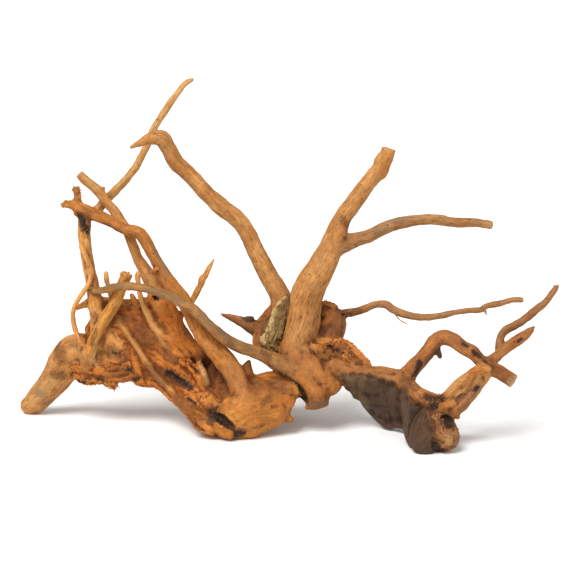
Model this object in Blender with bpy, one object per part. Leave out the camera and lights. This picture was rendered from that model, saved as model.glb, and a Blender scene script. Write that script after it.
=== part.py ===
"""Spiderwood root: one grown piece of bare rootwood that stands on four feet.

Units are metres and +Z is up. The root's front faces -Y and +X is to its right.
The limbs are laid out as the front view shows them. A place is read at full size in a square view:
millimetres across from the view's left edge, down from its top edge, and back from the sight plane.
Each limb is a swept, lobed tube. The tubes are fused into one skin, hollows are cut out of it, and the
feet are levelled to small flats on the floor.
"""

import math

import bmesh
import bpy
import numpy as np

# Driving dimensions, in millimetres
VIEW_SIDE = 570.0  # side of the square view that the limbs are laid out in
EYE_DISTANCE = 2000.0  # from the eye to the middle of the view
SIGHT_ELEVATION = math.radians(12.0)  # the eye looks down on the root by this much
VIEW_MIDDLE = np.array([0.2, -70.9, 165.3])  # place of the view's middle in the root's own frame

# How the skin is made, in millimetres
STATION_STEP = 3.0  # between the rings of a limb
RING_SIDES = 14
SKIN_VOXEL = 2.0  # the grid that fuses the limbs
SMOOTHING_ROUNDS = 4
SMOOTHING_LOSS = 0.5  # what the smoothing takes off a limb's radius, given back beforehand
SKIN_TRIANGLES = 10200

# A limb's section is lobed, not round: (lobes, share of the radius, turns per metre of length)
LOBES = ((2, 0.07, 4.0), (3, 0.05, -6.0), (5, 0.025, 9.0))

# Main limbs: name, depth of the section as a share of its width, and points along the middle line as
# (across, down, back, radius)
LIMBS = (
    ("trunk", 1.0, ((299, 378, 84, 18.5), (297, 352, 84, 17.4), (302.5, 322, 84, 16.6), (307.5, 293, 86, 17.2),
                    (322.5, 265, 88, 14.4), (333.8, 242, 90, 12), (342, 220.3, 92, 8.8), (354.5, 201.8, 94, 8.2),
                    (366, 185.8, 96, 7.6), (376.3, 172.5, 98, 7.6), (385, 161, 99, 6.8), (388.5, 149, 100, 6.8))),
    ("fork_limb", 1.0, ((334, 247, 88, 11.5), (346, 243.5, 86, 8.8), (358, 239.5, 82, 6.8), (371, 235, 77, 6.2),
                        (388, 226.5, 70, 5.9), (405, 222, 63, 5.4), (430, 219.2, 52, 5.1), (455, 222.3, 42, 5.2),
                        (475, 222.8, 35, 4.6), (492, 225.3, 30, 4.3))),
    ("hooked_limb", 1.0, ((131, 147.3, 84, 2), (140, 143.3, 90, 4), (150, 139, 97, 6.2), (161, 138.8, 104, 8.5),
                          (168.2, 148.6, 108, 7.8), (175.8, 162, 111, 7.9), (189.4, 174.7, 114, 7.3),
                          (205, 191.4, 116, 7.1), (219.6, 205.5, 118, 8.2), (235.7, 217.7, 120, 8.1),
                          (246.7, 232.1, 121, 8.2), (256.3, 252.3, 121, 8.9), (268.4, 276.3, 120, 9.9),
                          (279, 294, 118, 11), (283, 310, 114, 12.2), (285, 330, 108, 14), (288, 352, 100, 16))),
    ("heel", 1.0, ((277.5, 303, 116, 4.5), (270, 316, 112, 7.5), (263, 330, 107, 9.8), (263, 346, 100, 11))),
    ("heel_spur", 1.0, ((223, 314.8, 96, 1.4), (230, 317, 98, 2.8), (238, 320, 100, 4.4), (247, 324.2, 103, 6),
                        (256, 328.5, 106, 8.4), (267, 335, 107, 10))),
    ("old_bark", 1.0, ((288, 298, 96, 3), (283.5, 306, 92, 6.6), (279.5, 316, 90, 7.2), (275, 326, 89, 7.8),
                       (271, 337, 87, 9), (270, 346, 86, 7.2), (275, 352, 84, 4))),
    ("runner", 1.0, ((303, 374, 76, 13), (286, 367, 70, 10), (268, 357.7, 64, 7), (252, 351.4, 60, 6),
                     (236, 345.3, 57, 5.7), (221.5, 336, 55, 5.4), (207.5, 323.5, 54, 5.1), (196, 311.2, 53, 5.1),
                     (182.7, 303.7, 53, 4.9), (167, 295, 54, 4.6), (150, 289.8, 56, 4.4), (135, 287, 59, 4.4),
                     (120, 286.7, 63, 4.3), (105, 289.8, 72, 4), (95, 291, 81, 3.2))),
    ("upright", 1.0, ((84, 210, 84, 6.6), (84.2, 222, 85, 7.1), (84.2, 236, 86, 6.6), (86, 250, 87, 6.4),
                      (88.4, 265, 88, 6.4), (92, 281, 89, 6.7), (94.6, 296, 90, 6.9), (97.5, 312, 92, 8),
                      (102, 330, 96, 11), (104, 345, 100, 14))),
    ("clinging_root", 1.0, ((80.5, 246, 80, 2.3), (86, 258, 78, 2.6), (90.3, 270, 80, 2.8), (89.3, 281, 80, 2.8),
                            (84, 291, 80, 2.5), (77, 301, 82, 2.4), (73.3, 311, 84, 2.6), (73, 320, 86, 2.6),
                            (75.5, 330, 88, 2.9), (79.5, 339, 90, 3.3), (85, 349, 94, 4.3))),
    ("cross_limb", 1.0, ((63.5, 204.8, 88, 3), (72, 204.5, 88, 4.7), (82, 209.5, 87, 5.9), (95, 215, 85, 5.9),
                         (110, 221.3, 84, 5.3), (123.5, 228.8, 83, 5), (137.5, 232, 82, 5.9), (145.8, 241.7, 81, 5.9),
                         (151.3, 252.4, 80, 5.9), (158.1, 263.3, 79, 6.3), (165.7, 276, 78, 7.2),
                         (174, 288, 77, 7.9), (184, 301, 76, 7.9), (193, 318, 74, 7.8), (202.5, 336.3, 71, 8.2),
                         (217.5, 352.5, 67, 9.7), (231, 369, 63, 10), (239, 387, 59, 10), (246, 402, 56, 11),
                         (250, 416, 56, 13))),
    ("frayed_stub", 1.0, ((81, 208.5, 87, 4.6), (77.5, 199, 86, 3.8), (76.5, 190.5, 86, 3.4))),
    ("sawn_limb", 1.0, ((79.5, 174, 112, 4.7), (88, 182.3, 110, 5), (97.6, 190.5, 108, 5.5), (106, 201, 106, 5.1),
                        (114, 210.5, 104, 5.1), (121, 221.3, 102, 5), (128.3, 233.8, 100, 5), (133, 247, 98, 4.9),
                        (138, 259.7, 97, 5.1), (146, 272, 96, 6.2), (153, 284, 95, 8), (159, 297, 94, 9),
                        (162, 310, 95, 10))),
    ("whip_limb", 1.0, ((193, 79.3, 140, 1.6), (186.1, 82.8, 139, 2.6), (179.7, 90.2, 138, 3.1),
                        (173, 99.5, 137, 3.5), (166, 110, 136, 3.6), (159.2, 120, 134, 3.7), (153, 130.2, 132, 3.9),
                        (148.3, 141.6, 129, 4), (144.3, 150.6, 127, 3.9), (138.8, 161.3, 125, 3.8),
                        (132, 172, 123, 4), (124.2, 181.7, 121, 4.2), (115.2, 190.7, 119, 4.2),
                        (107, 198.7, 117, 4.4), (100.4, 206.8, 111, 4.6), (94, 213, 100, 5.2), (92, 216, 92, 5))),
    ("peg_left", 1.0, ((106, 272.5, 78, 2.2), (106.4, 280, 80, 2.5), (109, 288, 82, 2.5),
                       (111.5, 298, 86, 2.6), (113, 306, 92, 3))),
    ("peg_thick", 1.0, ((126.8, 273.5, 80, 6), (121.5, 286, 80, 5.6), (116.5, 299, 80, 5.6),
                        (110.5, 309.5, 80, 5.8), (104, 320.5, 81, 5.6), (98, 332, 82, 5.3), (92.3, 343, 84, 5),
                        (89.5, 352, 88, 4.6))),
    ("peg_right", 1.0, ((137.4, 273.5, 78, 2.8), (138.1, 282, 80, 2.8), (139.4, 293, 82, 2.7),
                        (142.5, 303.5, 84, 3.1), (147.5, 314, 85, 3.6), (153.5, 324.5, 86, 4.1),
                        (160.5, 333, 87, 4.7), (170, 340, 90, 5.6))),
    ("peg_curl", 1.0, ((131.5, 295, 86, 2.2), (134, 300, 88, 2.9), (138, 306, 91, 3.4))),
    ("rim", 1.0, ((76.5, 308.3, 90, 2.2), (84, 304.8, 92, 3.3), (93, 302, 94, 4.3), (103, 301.5, 95, 4.4),
                  (113, 303, 96, 4.8), (124, 305, 97, 5.6), (136, 306.5, 98, 6.6), (148, 304, 98, 7),
                  (157, 301.5, 97, 5.2), (164.5, 299, 96, 3.4))),
    ("twig", 1.0, ((214, 258.7, 78, 1.2), (209.5, 267, 81, 2.4), (204, 278.1, 86, 2.8), (199, 288, 90, 3),
                   (193.3, 298.3, 93, 3.1), (186.5, 308, 95, 3), (179.5, 317, 96, 3.2), (173, 326, 97, 5))),
    ("left_foot", 0.85, ((29.5, 405.8, 147, 10.4), (36.3, 400, 143, 12.6), (46, 389.5, 137, 13.9),
                         (56, 377, 129, 15.3), (64.8, 364.5, 121, 17.3), (76, 353.5, 113, 18.3),
                         (92, 352.5, 107, 16))),
    ("right_arch", 1.0, ((404.5, 379, 53, 9.5), (412.7, 368.4, 50, 8.4), (420.7, 360, 47, 7.8),
                         (428, 351.3, 43, 7.8), (434.4, 341.4, 39, 7.6), (443, 337.3, 36, 8.1), (453.5, 340, 33, 7.6),
                         (463, 347.3, 31, 7), (473, 352.5, 29, 7), (480.5, 361, 28, 6.5), (489, 367.3, 26, 6.3),
                         (500.3, 372.6, 22, 6), (513.5, 381.5, 18, 5.9))),
    ("arch_stub", 1.0, ((436, 346, 40, 4.3), (440, 357, 40, 2.3))),
    ("right_riser", 0.75, ((445, 408, 26, 12.4), (455.6, 400.2, 24, 13.2), (465.4, 389.7, 22, 13),
                           (475.4, 379.6, 19, 11), (484, 371, 17, 8.8))),
    ("riser_spike", 1.0, ((450, 406, 22, 10.5), (458.3, 418, 20, 2.2))),
    ("riser_limb", 1.0, ((484, 368, 24, 7.3), (496.5, 356.2, 32, 5.7), (508.5, 346.3, 37, 5.5),
                         (519.5, 338.8, 41, 5.9), (527.5, 333, 44, 4.4), (532, 329.5, 45, 2.8))),
    ("far_right_twig", 1.0, ((500, 352, 36, 5), (500, 339.5, 41, 4.1), (504.8, 331, 46, 4.1), (515, 324.9, 52, 4.1),
                             (525.7, 318.8, 56, 4.1), (535.2, 310.4, 60, 4), (544.6, 303, 64, 3.9),
                             (551.8, 293.7, 67, 3.3), (556.4, 287, 69, 2.7))),
    ("wavy_limb", 1.0, ((327, 319, 107, 9), (338, 315, 105, 4.6), (345, 313.2, 104, 4.1), (354, 312, 103, 3.9),
                        (364, 309.3, 102, 3.8), (375.5, 304.2, 101, 3.5), (386.5, 304.8, 100, 3.8),
                        (394.6, 310.6, 100, 3.9), (407, 315, 101, 3.7), (423.5, 317.5, 103, 3.4),
                        (440, 316, 105, 3.4), (458, 312, 108, 3.2), (472.5, 310.4, 110, 3.1), (481, 309.8, 111, 3.3),
                        (487, 306, 112, 3), (501, 303.2, 115, 3), (513, 299.8, 117, 2.8), (523.3, 300, 118, 2.3))),
)

# The crown and the root plate: broad, flattened masses that the limbs grow from
MASSES = (
    ("plate_upper", 0.55, ((92, 331, 101, 9), (105, 323, 100, 16), (122, 323, 98, 18), (141, 323, 97, 18),
                           (157, 321.5, 97, 16), (169, 331.5, 95, 11.5), (182, 342.5, 93, 9), (196, 350.5, 92, 8.5))),
    ("plate_lower", 0.55, ((72, 357, 112, 15), (90, 361, 106, 20), (112, 363, 103, 19.5), (134, 362, 101, 18.5),
                           (154, 366, 98, 17), (170, 375, 93, 16.5), (186, 388, 86, 18.5), (202, 402, 76, 21.5),
                           (218, 413, 66, 23.5))),
    ("hollow_back", 0.5, ((194, 354, 106, 10), (209, 368, 105, 14), (222, 384, 98, 15), (236, 400, 84, 15))),
    ("lobe", 0.8, ((297, 384, 80, 9), (286, 391.5, 74, 13.5), (271, 400.5, 66, 23.7), (254, 406.5, 60, 26),
                   (238.5, 415, 56, 25.5), (226.5, 421, 53, 20.5))),
    ("lobe_top", 0.8, ((245, 398, 70, 16), (258, 388, 72, 13.5), (272, 385, 74, 13), (286, 387, 76, 9))),
    ("lobe_spike", 1.0, ((245.5, 379, 72, 10), (246.3, 369, 72, 7), (249, 361.5, 72, 2.4))),
    ("lobe_nub", 1.0, ((277, 412, 64, 9), (290.5, 420, 62, 3.4))),
    ("crown_stub", 1.0, ((300, 374, 78, 17), (309, 383, 72, 16), (316, 394, 67, 13.6), (319, 405.5, 62, 10.4))),
    ("stub_lip", 1.0, ((312, 398, 68, 5), (307, 408, 64, 2.6))),
    ("crown_shoulder", 1.0, ((306, 368, 78, 17), (322, 378, 74, 15.4), (331.5, 387, 70, 10.6))),
    ("knuckle", 1.0, ((318, 315, 106, 9.5), (328.5, 318.5, 106, 14.5), (331, 326.5, 105, 15.7),
                      (328.5, 337, 101, 13.6), (321, 348, 97, 13))),
    ("fan", 0.8, ((312, 350, 92, 14), (328, 350.5, 90, 14.5), (342.5, 354, 86, 14), (355, 361, 82, 10.8),
                  (366, 369.5, 78, 7.6))),
    ("brow", 1.0, ((330, 367, 78, 13), (348, 371, 74, 10), (366, 374, 70, 8.2), (384, 375, 64, 8),
                   (398, 378.5, 57, 8.4), (408, 386, 50, 8), (418, 394.5, 44, 7.7), (430, 401, 38, 8.6),
                   (443, 407, 32, 11))),
    ("apron", 0.32, ((350, 380.5, 88, 7), (364, 388.6, 91, 12.4), (378.5, 399, 91, 18.4),
                     (393, 406, 85, 23.4), (405, 411, 74, 19.5), (417, 421, 60, 15), (424, 435.5, 42, 15))),
    ("right_foot", 1.0, ((430, 412, 44, 13), (425.5, 424, 32, 13.8), (423.5, 435.5, 16, 15), (424, 443.5, 2, 13))),
    ("right_foot_toe", 1.0, ((437, 417, 26, 9), (443.5, 428, 14, 13), (445.5, 439, 3, 14.2))),
    ("back_foot", 1.0, ((292, 356, 110, 15), (291, 374, 125, 12.5), (284, 390, 142, 11), (275, 401, 158, 10),
                        (269, 405.5, 167, 9))),
)

# Ropes: grown ribs that stand out of the masses
ROPES = (
    ("long_rope", 1.0, ((113, 312, 89, 3), (121, 322, 88, 3.8), (130, 337, 88, 4.2), (139, 350.5, 88, 4.4),
                        (149, 366.5, 87, 4.6), (159, 379, 84, 4.7), (169.7, 388, 78, 4.7), (182.5, 404, 68, 5),
                        (200, 417, 56, 5.6), (219, 428.5, 46, 6), (230, 435, 42, 5))),
    ("upright_rope", 1.0, ((132, 346, 91, 4), (135, 358, 91, 4.5), (137, 370, 91, 5), (141, 381, 93, 5.2))),
    ("left_lip", 1.0, ((97, 372, 95, 5), (108, 371.5, 94, 6), (120, 369, 93, 6), (130, 364, 92, 5))),
    ("left_hem", 1.0, ((77, 376, 106, 5), (88, 380.5, 102, 5), (99, 378.5, 99, 5.2), (110, 382, 96, 4.6),
                       (115, 387, 95, 2.6))),
    ("middle_hem", 1.0, ((119, 378, 98, 6), (132, 375, 98, 6), (144, 382, 97, 5.5), (158, 381, 95, 6))),
    ("foot_rib", 0.7, ((62, 358, 110, 8), (76, 354, 102, 8), (92, 353, 97, 8), (104, 352, 95, 6))),
    ("hollow_lip", 1.0, ((174, 352, 88, 4.6), (186, 362, 85, 5), (196, 373, 80, 5), (205, 386, 73, 6))),
    ("lower_hem", 1.0, ((166, 381, 86, 4.5), (179, 396.5, 75, 5), (190, 411, 64, 6), (200, 424, 52, 7),
                        (212, 431, 46, 5.5))),
    ("burl", 1.0, ((209, 399, 60, 8), (213, 405, 57, 8))),
    ("splinter", 1.0, ((199.5, 363, 82, 2.6), (204, 373, 74, 3), (208.5, 384, 67, 2.8))),
    ("plate_back_rib", 1.0, ((90, 346, 112, 9), (112, 338, 112, 9), (138, 334, 110, 9), (162, 340, 106, 8))),
    ("back_knee", 1.0, ((158, 344, 104, 12), (176, 355, 112, 11), (196, 369, 116, 11), (222, 384, 112, 11),
                        (252, 392, 104, 11), (284, 386, 100, 12))),
)

# Hollows, cut out of the fused skin. The depth share is large, so that each goes well in.
HOLLOWS = (
    ("slot", 2.2, ((169, 374.5, 80, 2.8), (178, 379.5, 76, 3), (188.5, 385.5, 72, 2))),
    ("black_pocket", 1.8, ((211, 415, 44, 4), (224, 424, 38, 5), (238, 433, 34, 3.4))),
    ("rim_hole", 2.0, ((154, 298, 90, 3), (158, 298.5, 90, 3))),
    ("cup", 1.2, ((337, 321, 88, 8), (336, 326, 92, 8))),
    ("fan_eye", 1.6, ((331, 345, 78, 3), (332, 348, 78, 4))),
    ("foot_hole", 1.6, ((446, 419, 13, 4), (447.5, 422, 10, 4))),
)

# Limbs with a first or a last end sawn flat; every other end is rounded over
SAWN_FIRST = {"sawn_limb", "peg_thick"}
SAWN_LAST = {"trunk", "fork_limb", "crown_stub", "right_arch", "wavy_limb"}

WOOD_COLOUR = (0.57, 0.27, 0.09, 1.0)  # linear, of the bare orange-brown wood
WOOD_ROUGHNESS = 0.62


def clear_scene():
    for thing in list(bpy.data.objects):
        bpy.data.objects.remove(thing, do_unlink=True)


def sight_axes():
    """Right, up and into the picture, as the eye sees them."""
    rise, run = math.sin(SIGHT_ELEVATION), math.cos(SIGHT_ELEVATION)
    return np.array([1.0, 0.0, 0.0]), np.array([0.0, rise, run]), np.array([0.0, run, -rise])


def place(points):
    """Rows of (x, y, z, radius), in millimetres, of points given as the front view shows them."""
    right, up, into = sight_axes()
    across, down, back, radius = np.array(points, float).T
    spread = 1.0 + back / EYE_DISTANCE
    middle = VIEW_SIDE / 2
    spots = (
        VIEW_MIDDLE
        + np.outer(spread * (across - middle), right)
        + np.outer(spread * (middle - down), up)
        + np.outer(back, into)
    )
    return np.column_stack([spots, spread * radius + SMOOTHING_LOSS])


def smooth_path(knots, step):
    """Points about step apart on a smooth curve through the knots (Catmull-Rom)."""
    padded = np.vstack([2 * knots[0] - knots[1], knots, 2 * knots[-1] - knots[-2]])
    stations = []
    for i in range(len(knots) - 1):
        before, start, end, after = padded[i : i + 4]
        count = max(2, round(np.linalg.norm((end - start)[:3]) / step))
        for t in np.arange(count) / count:
            stations.append(
                0.5
                * (
                    2 * start
                    + (end - before) * t
                    + (2 * before - 5 * start + 4 * end - after) * t**2
                    + (3 * start - before - 3 * end + after) * t**3
                )
            )
    stations.append(knots[-1])
    return np.array(stations)


def end_rings(stations, blunt_first, blunt_last):
    """Adds the small rings that round a limb's ends over. A sawn end gets only a narrow easing."""
    dome = np.radians([28.0, 52.0, 72.0])
    rows = [stations]
    for end, inner, blunt in ((0, 1, blunt_first), (-1, -2, blunt_last)):
        tip = stations[end]
        outward = tip[:3] - stations[inner][:3]
        outward /= np.linalg.norm(outward)
        reach = tip[3] * (0.12 if blunt else 0.8)
        shrink = 0.35 if blunt else 1.0
        extra = [
            np.append(tip[:3] + outward * reach * math.sin(a), tip[3] * (1 - shrink * (1 - math.cos(a))))
            for a in dome
        ]
        rows = [np.array(extra[::-1])] + rows if end == 0 else rows + [np.array(extra)]
    return np.vstack(rows)


def section_axes(centres):
    """For each station, the directions along the section's width and its depth."""
    _, _, into = sight_axes()
    tangents = np.gradient(centres, axis=0)
    tangents /= np.linalg.norm(tangents, axis=1)[:, None]
    side = np.cross(tangents[0], into)
    if np.linalg.norm(side) < 0.2:
        side = np.cross(tangents[0], (1.0, 0.0, 0.0))
    sides = []
    for tangent in tangents:
        wanted = np.cross(tangent, into)
        if np.linalg.norm(wanted) > 0.35:
            wanted /= np.linalg.norm(wanted)
            side = side + 0.5 * wanted * np.sign(wanted @ side or 1.0)
        side = side - (side @ tangent) * tangent
        side = side / np.linalg.norm(side)
        sides.append(side)
    sides = np.array(sides)
    return sides, np.cross(sides, tangents)


def swept_tube(points, depth_share, phase, blunt_first=False, blunt_last=False):
    """Vertices, in millimetres, and faces of one closed limb."""
    stations = end_rings(smooth_path(place(points), STATION_STEP), blunt_first, blunt_last)
    centres, radii = stations[:, :3], stations[:, 3]
    width_way, depth_way = section_axes(centres)
    length = np.append(0, np.cumsum(np.linalg.norm(np.diff(centres, axis=0), axis=1)))
    angles = np.linspace(0, math.tau, RING_SIDES, endpoint=False)
    verts = []
    for i, radius in enumerate(radii):
        share = 1 + sum(
            size * np.cos(lobes * angles + phase * lobes + math.tau * twist * length[i] / 1000)
            for lobes, size, twist in LOBES
        )
        across = radius * share * np.cos(angles)
        inward = radius * share * np.sin(angles) * depth_share
        verts.append(centres[i] + np.outer(across, width_way[i]) + np.outer(inward, depth_way[i]))
    rings = len(verts)
    faces = [
        (a * RING_SIDES + k, a * RING_SIDES + j, (a + 1) * RING_SIDES + j, (a + 1) * RING_SIDES + k)
        for a in range(rings - 1)
        for j in range(RING_SIDES)
        for k in [(j + 1) % RING_SIDES]
    ]
    first, last = rings * RING_SIDES, rings * RING_SIDES + 1
    top = (rings - 1) * RING_SIDES
    for j in range(RING_SIDES):
        k = (j + 1) % RING_SIDES
        faces.append((first, j, k))
        faces.append((last, top + k, top + j))
    return np.vstack([*verts, verts[0].mean(0), verts[-1].mean(0)]), faces


def tubes_object(name, limbs):
    """One mesh object that holds every limb in the list as its own closed tube."""
    all_verts, all_faces = [], []
    for number, (limb, depth_share, points) in enumerate(limbs):
        verts, faces = swept_tube(points, depth_share, 2.4 * number, limb in SAWN_FIRST, limb in SAWN_LAST)
        offset = sum(len(v) for v in all_verts)
        all_verts.append(verts)
        all_faces += [tuple(i + offset for i in face) for face in faces]
    mesh = bpy.data.meshes.new(name)
    mesh.from_pydata((np.vstack(all_verts) / 1000).tolist(), [], all_faces)
    made = bpy.data.objects.new(name, mesh)
    bpy.context.scene.collection.objects.link(made)
    outward_faces(made)
    return made


def outward_faces(obj):
    skin = bmesh.new()
    skin.from_mesh(obj.data)
    bmesh.ops.recalc_face_normals(skin, faces=skin.faces)
    skin.to_mesh(obj.data)
    skin.free()


def apply_modifiers(obj):
    """Replaces the object's mesh by the one that its modifiers make."""
    graph = bpy.context.evaluated_depsgraph_get()
    made = bpy.data.meshes.new_from_object(obj.evaluated_get(graph))
    obj.modifiers.clear()
    obj.data = made


def keep_largest_shell(obj):
    """Drops scraps and sealed inner voids that fusing leaves."""
    skin = bmesh.new()
    skin.from_mesh(obj.data)
    left = set(skin.verts)
    shells = []
    while left:
        front = [left.pop()]
        shell = list(front)
        while front:
            vert = front.pop()
            for edge in vert.link_edges:
                other = edge.other_vert(vert)
                if other in left:
                    left.remove(other)
                    front.append(other)
                    shell.append(other)
        shells.append(shell)
    shells.sort(key=len)
    bmesh.ops.delete(skin, geom=[v for shell in shells[:-1] for v in shell], context="VERTS")
    skin.to_mesh(obj.data)
    skin.free()


def fuse(obj):
    """Joins all that the object holds into one even skin."""
    remesh = obj.modifiers.new("fuse", "REMESH")
    remesh.mode = "VOXEL"
    remesh.voxel_size = SKIN_VOXEL / 1000
    apply_modifiers(obj)
    keep_largest_shell(obj)


def ease(obj):
    """Softens the crotches between limbs and the rims of the hollows."""
    smooth = obj.modifiers.new("ease", "SMOOTH")
    smooth.factor = 0.5
    smooth.iterations = SMOOTHING_ROUNDS
    apply_modifiers(obj)


def cut_away(obj, cutter):
    """Takes the cutter's shape out of the object, and then the cutter out of the scene."""
    cut = obj.modifiers.new("cut", "BOOLEAN")
    cut.operation = "DIFFERENCE"
    cut.solver = "MANIFOLD"
    cut.object = cutter
    apply_modifiers(obj)
    bpy.data.objects.remove(cutter, do_unlink=True)


def thin_out(obj):
    """Keeps the number of facets low, with most of them where the skin curves."""
    obj.data.calc_loop_triangles()
    fewer = obj.modifiers.new("thin_out", "DECIMATE")
    fewer.ratio = SKIN_TRIANGLES / len(obj.data.loop_triangles)
    apply_modifiers(obj)


def floor_slab():
    """A slab whose top is the floor. What it takes off leaves each foot with a small flat."""
    slab = bmesh.new()
    bmesh.ops.create_cube(slab, size=1.0)
    bmesh.ops.translate(slab, vec=(0, 0, -0.5), verts=slab.verts)
    mesh = bpy.data.meshes.new("floor_slab")
    slab.to_mesh(mesh)
    slab.free()
    made = bpy.data.objects.new("floor_slab", mesh)
    bpy.context.scene.collection.objects.link(made)
    return made


def wood_material():
    wood = bpy.data.materials.new("bare_rootwood")
    wood.use_nodes = True
    surface = wood.node_tree.nodes["Principled BSDF"]
    surface.inputs["Base Color"].default_value = WOOD_COLOUR
    surface.inputs["Roughness"].default_value = WOOD_ROUGHNESS
    surface.inputs["Metallic"].default_value = 0.0
    return wood


def build():
    clear_scene()
    root = tubes_object("spiderwood_root", LIMBS + MASSES + ROPES)
    fuse(root)
    cut_away(root, tubes_object("hollow_cutters", HOLLOWS))
    fuse(root)
    ease(root)
    thin_out(root)
    cut_away(root, floor_slab())
    keep_largest_shell(root)
    root.data.shade_smooth()
    root.data.materials.append(wood_material())
    return root


build()
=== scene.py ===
# %% [markdown]
# # A bare spiderwood root
#
# Spiderwood is the root of an azalea-type shrub: dug up, stripped of its bark, cleaned and dried.
# It grew as one piece, so it is modelled as one skin. This notebook lays out its limbs as the photograph
# shows them, fuses them, gives the skin a grain that runs along each limb, stains it and paints shade
# into its creases and gaps, and adds the frayed ends, splinters and rootlets that a step closer would
# show.
#
# Lengths are in millimetres until they reach Blender, which wants metres.

# %% Load the imported part
import math

import bmesh
import bpy
import numpy as np
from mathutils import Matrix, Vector
from mathutils.bvhtree import BVHTree


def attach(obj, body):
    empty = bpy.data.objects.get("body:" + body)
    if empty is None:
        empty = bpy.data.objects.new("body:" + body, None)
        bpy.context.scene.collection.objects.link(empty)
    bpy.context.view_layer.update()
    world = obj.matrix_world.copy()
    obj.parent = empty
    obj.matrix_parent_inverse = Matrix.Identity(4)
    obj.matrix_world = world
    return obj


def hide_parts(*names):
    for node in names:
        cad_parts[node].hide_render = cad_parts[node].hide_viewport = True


MM = 0.001
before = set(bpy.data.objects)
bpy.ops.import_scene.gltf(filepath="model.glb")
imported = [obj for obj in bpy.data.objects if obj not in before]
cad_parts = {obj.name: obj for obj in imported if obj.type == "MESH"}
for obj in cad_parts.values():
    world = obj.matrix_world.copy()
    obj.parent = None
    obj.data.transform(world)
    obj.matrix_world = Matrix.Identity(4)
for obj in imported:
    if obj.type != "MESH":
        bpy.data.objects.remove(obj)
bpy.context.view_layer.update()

# %% [markdown]
# ## The eye and the view
#
# The root is drawn from where the photograph was taken: a little above it, far enough away that the
# perspective is slight. The view is a square, and one millimetre in it is one pixel of the photograph.
# So a place on the root can be given as three plain numbers: across and down in the view, and how far
# back it lies from the sight plane. `place` turns them into the part's own frame. Things further back
# look smaller, so `place` also spreads them, and their thickness with them.

# %% Set up the view and the camera
VIEW_SIDE = 570.0
EYE_DISTANCE = 2000.0
SIGHT_ELEVATION = math.radians(12.0)
VIEW_MIDDLE = np.array([0.2, -70.9, 165.3])
FILM_WIDTH = 36.0

RIGHT = np.array([1.0, 0.0, 0.0])
UP = np.array([0.0, math.sin(SIGHT_ELEVATION), math.cos(SIGHT_ELEVATION)])
INWARD = np.array([0.0, math.cos(SIGHT_ELEVATION), -math.sin(SIGHT_ELEVATION)])
EYE = VIEW_MIDDLE - EYE_DISTANCE * INWARD


def place(points):
    """Rows of (x, y, z, radius) in mm, for rows of (across, down, back, radius)."""
    across, down, back, radius = np.array(points, float).T
    spread = 1 + back / EYE_DISTANCE
    spots = (
        VIEW_MIDDLE
        + np.outer(spread * (across - VIEW_SIDE / 2), RIGHT)
        + np.outer(spread * (VIEW_SIDE / 2 - down), UP)
        + np.outer(back, INWARD)
    )
    return np.column_stack([spots, spread * radius])


lens = bpy.data.cameras.new("photo_lens")
lens.sensor_width = FILM_WIDTH
lens.lens = FILM_WIDTH * EYE_DISTANCE / VIEW_SIDE
camera = bpy.data.objects.new("photo_camera", lens)
camera.location = Vector(EYE * MM)
camera.rotation_euler = (math.pi / 2 - SIGHT_ELEVATION, 0, 0)
bpy.context.scene.collection.objects.link(camera)
bpy.context.scene.camera = camera
print("The lens is", round(lens.lens, 1), "mm, from", [round(x) for x in EYE], "mm")
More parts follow.
